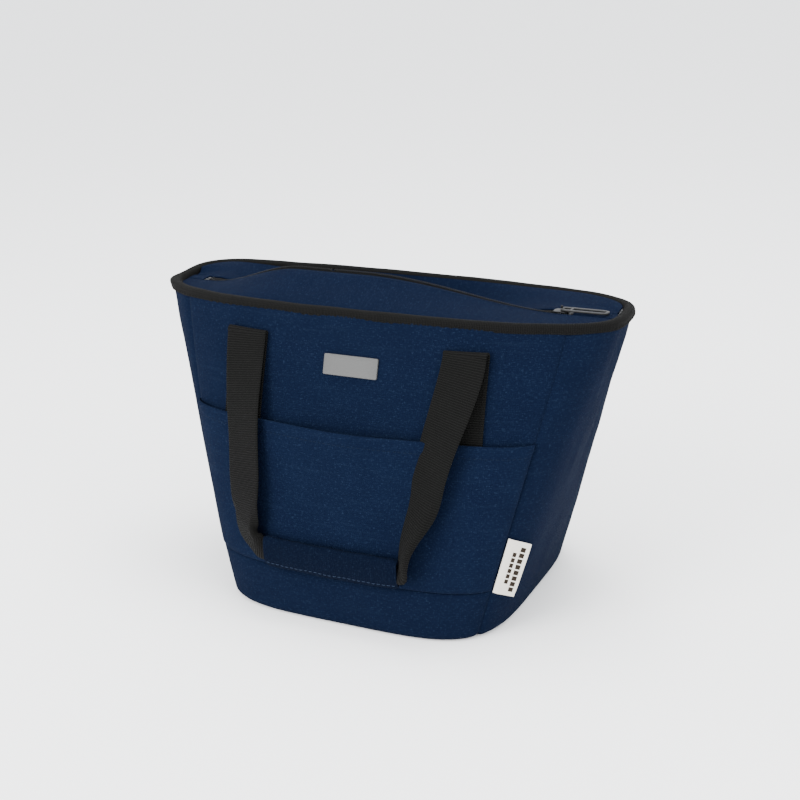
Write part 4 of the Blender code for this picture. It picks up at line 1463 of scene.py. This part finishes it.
def makeSlider():
    low, high = boxOf("slider_body")
    middle, half, sheet = (low + high) / 2, (high - low) / 2, pull["plate"] / 2
    upper = sliderPlate((middle[0], 0, high[2] - sheet), half, pull["waist"], pull["crown"])
    lower = sliderPlate((middle[0], 0, low[2] + sheet), half, pull["waist"])[::-1]
    neck = plateRings(roundedRing(*pull["neckHalf"], 3, turns(40)), half[2] - 0.3 * mm, 0.1 * mm, 6, 0.03)
    neck = neck + (low[0] + pull["neckAt"], 0, middle[2])
    joined("sliderBody", [upper, lower, neck], gunMetal, "slider", "zip_metal", "slider_body")
    # the bail is a wire bent into a square arch
    low, high = boxOf("slider_bail")
    foot, peak, wire = low[2] - 0.4 * mm, high[2] - pull["wire"], pull["wire"]
    t = np.linspace(-math.pi / 2, math.pi / 2, 25)
    y = ((high[1] - low[1]) / 2 - wire) * bent(np.sin(t), 0.5)
    z = foot + (peak - foot) * np.abs(np.cos(t)) ** 0.45
    bail = tube(np.stack([np.full_like(t, (low[0] + high[0]) / 2), y, z], 1), (1.0, 0, 0), wire * 1.5, wire)
    joined("sliderBail", [bail], gunMetal, "slider", "zip_metal", "slider_bail")


def makePuller():
    # a long loop with a bar across it, near the slider
    low, high = boxOf("zip_puller")
    bar, sheet = pull["barWidth"] / 2, pull["barSheet"] / 2
    middle, half = (low + high) / 2, (high - low) / 2 - bar
    ring = roundedRing(half[0], half[1], 5.5, turns(120))
    loop = np.stack([middle[0] + ring[:, 0], ring[:, 1], np.full(len(ring), middle[2])], 1)
    loop = np.concatenate([loop, loop[:1]])
    even = walked(loop, np.linspace(0, lengthsOf(loop)[-1], 97)[:-1])
    body = tube(even, (0, 0, 1.0), sheet, bar, closed=True, power=3.2, sides=16)
    loop = carried("pullerLoop", body, pullerMetal, loopPath=True, sharp=45)
    fit(loop, "puller", "zip_metal", "zip_puller")
    t = np.linspace(-1, 1, 12)
    cross = np.stack([np.full(12, low[0] + pull["crossAt"]), t * half[1], np.full(12, middle[2])], 1)
    cross = tube(cross, (0, 0, 1.0), sheet * 0.94, pull["crossHalf"], power=3.0)
    joined("pullerBar", [cross], pullerMetal, "puller", "zip_metal")


makeSlider()
makePuller()
print("slider and puller made")

# Trim: badge plate and side label

trim = {
    "labelWidth": 17 * mm,
    "labelFoot": 35 * mm,
    "labelTall": 38 * mm,
    "labelSheet": 0.5 * mm,
    "labelDroop": 9 * mm,  # the free edge hangs lower than the sewn one
    "labelCurl": 0.9 * mm,
    # rows of plain bars: where across, how wide, how many, and from and to along the label
    "bars": ((0.66, 0.24, 8, 0.07, 0.92), (0.34, 0.15, 6, 0.20, 0.80)),
    "plateHalfTall": 7.0 * mm,
    "plateSheet": 1.2 * mm,
}


def makeBadge():
    # a flat plate with bevelled edges, laid on the leaning front
    low, high = boxOf("badge_plate")
    halfWide, halfTall, middle = (high[0] - low[0]) / 2, trim["plateHalfTall"], (low + high) / 2
    lean = math.atan2(frontY(0, high[2]) - frontY(0, low[2]), high[2] - low[2])
    # each ring's size and its height through the plate, from the middle of the back to that of the face
    bevel = [1, 1, 0.994, 0.985, 0.97, 0.955, 0.945, 0.5, 0.02]
    scale = np.concatenate([np.linspace(0.02, 1, 4), bevel])
    up = np.array([0, 0, 0, 0, 0, 0.75, 0.92, 1.0, 1.0, 0.93, 0.90, 0.90, 0.90]) * trim["plateSheet"]
    ring = roundedRing(1.0, 1.0, 26, turns(96))
    wide = np.where(scale >= 0.9, halfWide - (1 - np.maximum(scale, 0.9)) * halfTall, halfWide * scale)
    x = wide[:, None] * ring[:, 0]
    s = halfTall * scale[:, None] * ring[:, 1]
    out = (up - trim["plateSheet"] / 2)[:, None]
    y = middle[1] + s * math.sin(lean) - out * math.cos(lean)
    z = middle[2] + s * math.cos(lean) + out * math.sin(lean)
    rings = np.stack([middle[0] + x, y, z], 2)
    joined("badgePlate", [rings], satinPlate, "bag", "badge", "badge_plate")


def makeLabel():
    # a cotton tab sewn into the seam: it starts flat on the gusset and lifts towards its free edge
    h0 = np.linspace(trim["labelFoot"], trim["labelFoot"] + trim["labelTall"], 30)
    h, w = np.meshgrid(h0, np.linspace(0, trim["labelWidth"], 16), indexing="ij")
    share = w / trim["labelWidth"]
    height = h - trim["labelDroop"] * share
    y = w * 1.02 + 0.4 * mm - sideReach("right", height)
    cloth = np.stack([outlineX(y, height), y, height], 2)
    toward = facingOut(cloth, cloth * (1, 1, 0))
    curl = trim["labelCurl"] + 1.0 * mm * share**1.6 + 0.35 * mm * ripple(w, h, 22 * mm, 91) * share
    inner = cloth + toward * (curl * ease(share / 0.12) + 0.2 * mm)[..., None]
    outer = inner + toward * trim["labelSheet"]
    label = slab("sideLabel", outer, inner, creamCotton, sharp=60)
    fit(label, "bag", "label", "side_label")
    declareCloth(outer)
    for k, (middle, wide, count, first, last) in enumerate(trim["bars"]):
        pitch = (last - first) / count
        cols = np.linspace(middle - wide / 2, middle + wide / 2, 5) * (outer.shape[1] - 1)
        for j in range(count):
            begin = first + pitch * j
            rows = np.linspace(begin + pitch * 0.12, begin + pitch * 0.88, 7) * (outer.shape[0] - 1)
            patch, away = (np.stack([sampled(grid, rows, c) for c in cols], 1) for grid in (outer, toward))
            face, back = patch + away * 0.10 * mm, patch - away * 0.06 * mm
            fit(slab("labelMark%d%d" % (k, j), face, back, printThread), "bag", "label")


def sampled(grid, rows, column):
    # points of a grid at fractional rows and one fractional column
    r0 = np.clip(np.floor(rows).astype(int), 0, grid.shape[0] - 2)
    c0 = int(min(math.floor(column), grid.shape[1] - 2))
    fr, fc = (rows - r0)[:, None], column - c0
    lowRow = grid[r0, c0] * (1 - fc) + grid[r0, c0 + 1] * fc
    highRow = grid[r0 + 1, c0] * (1 - fc) + grid[r0 + 1, c0 + 1] * fc
    return lowRow * (1 - fr) + highRow * fr


makeBadge()
makeLabel()
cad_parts["base_board"].data.materials.clear()
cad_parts["base_board"].data.materials.append(boardPlastic)
print("trim made")


# Floor

def makeFloor():
    grid = np.linspace(-studio["floorHalf"], studio["floorHalf"], 3)
    x, y = np.meshgrid(grid, grid, indexing="ij")
    face = np.stack([x, y, np.zeros_like(x)], 2)
    slab("floor", face, face - (0, 0, studio["floorSheet"]), floorFinish("studio floor"))


makeFloor()
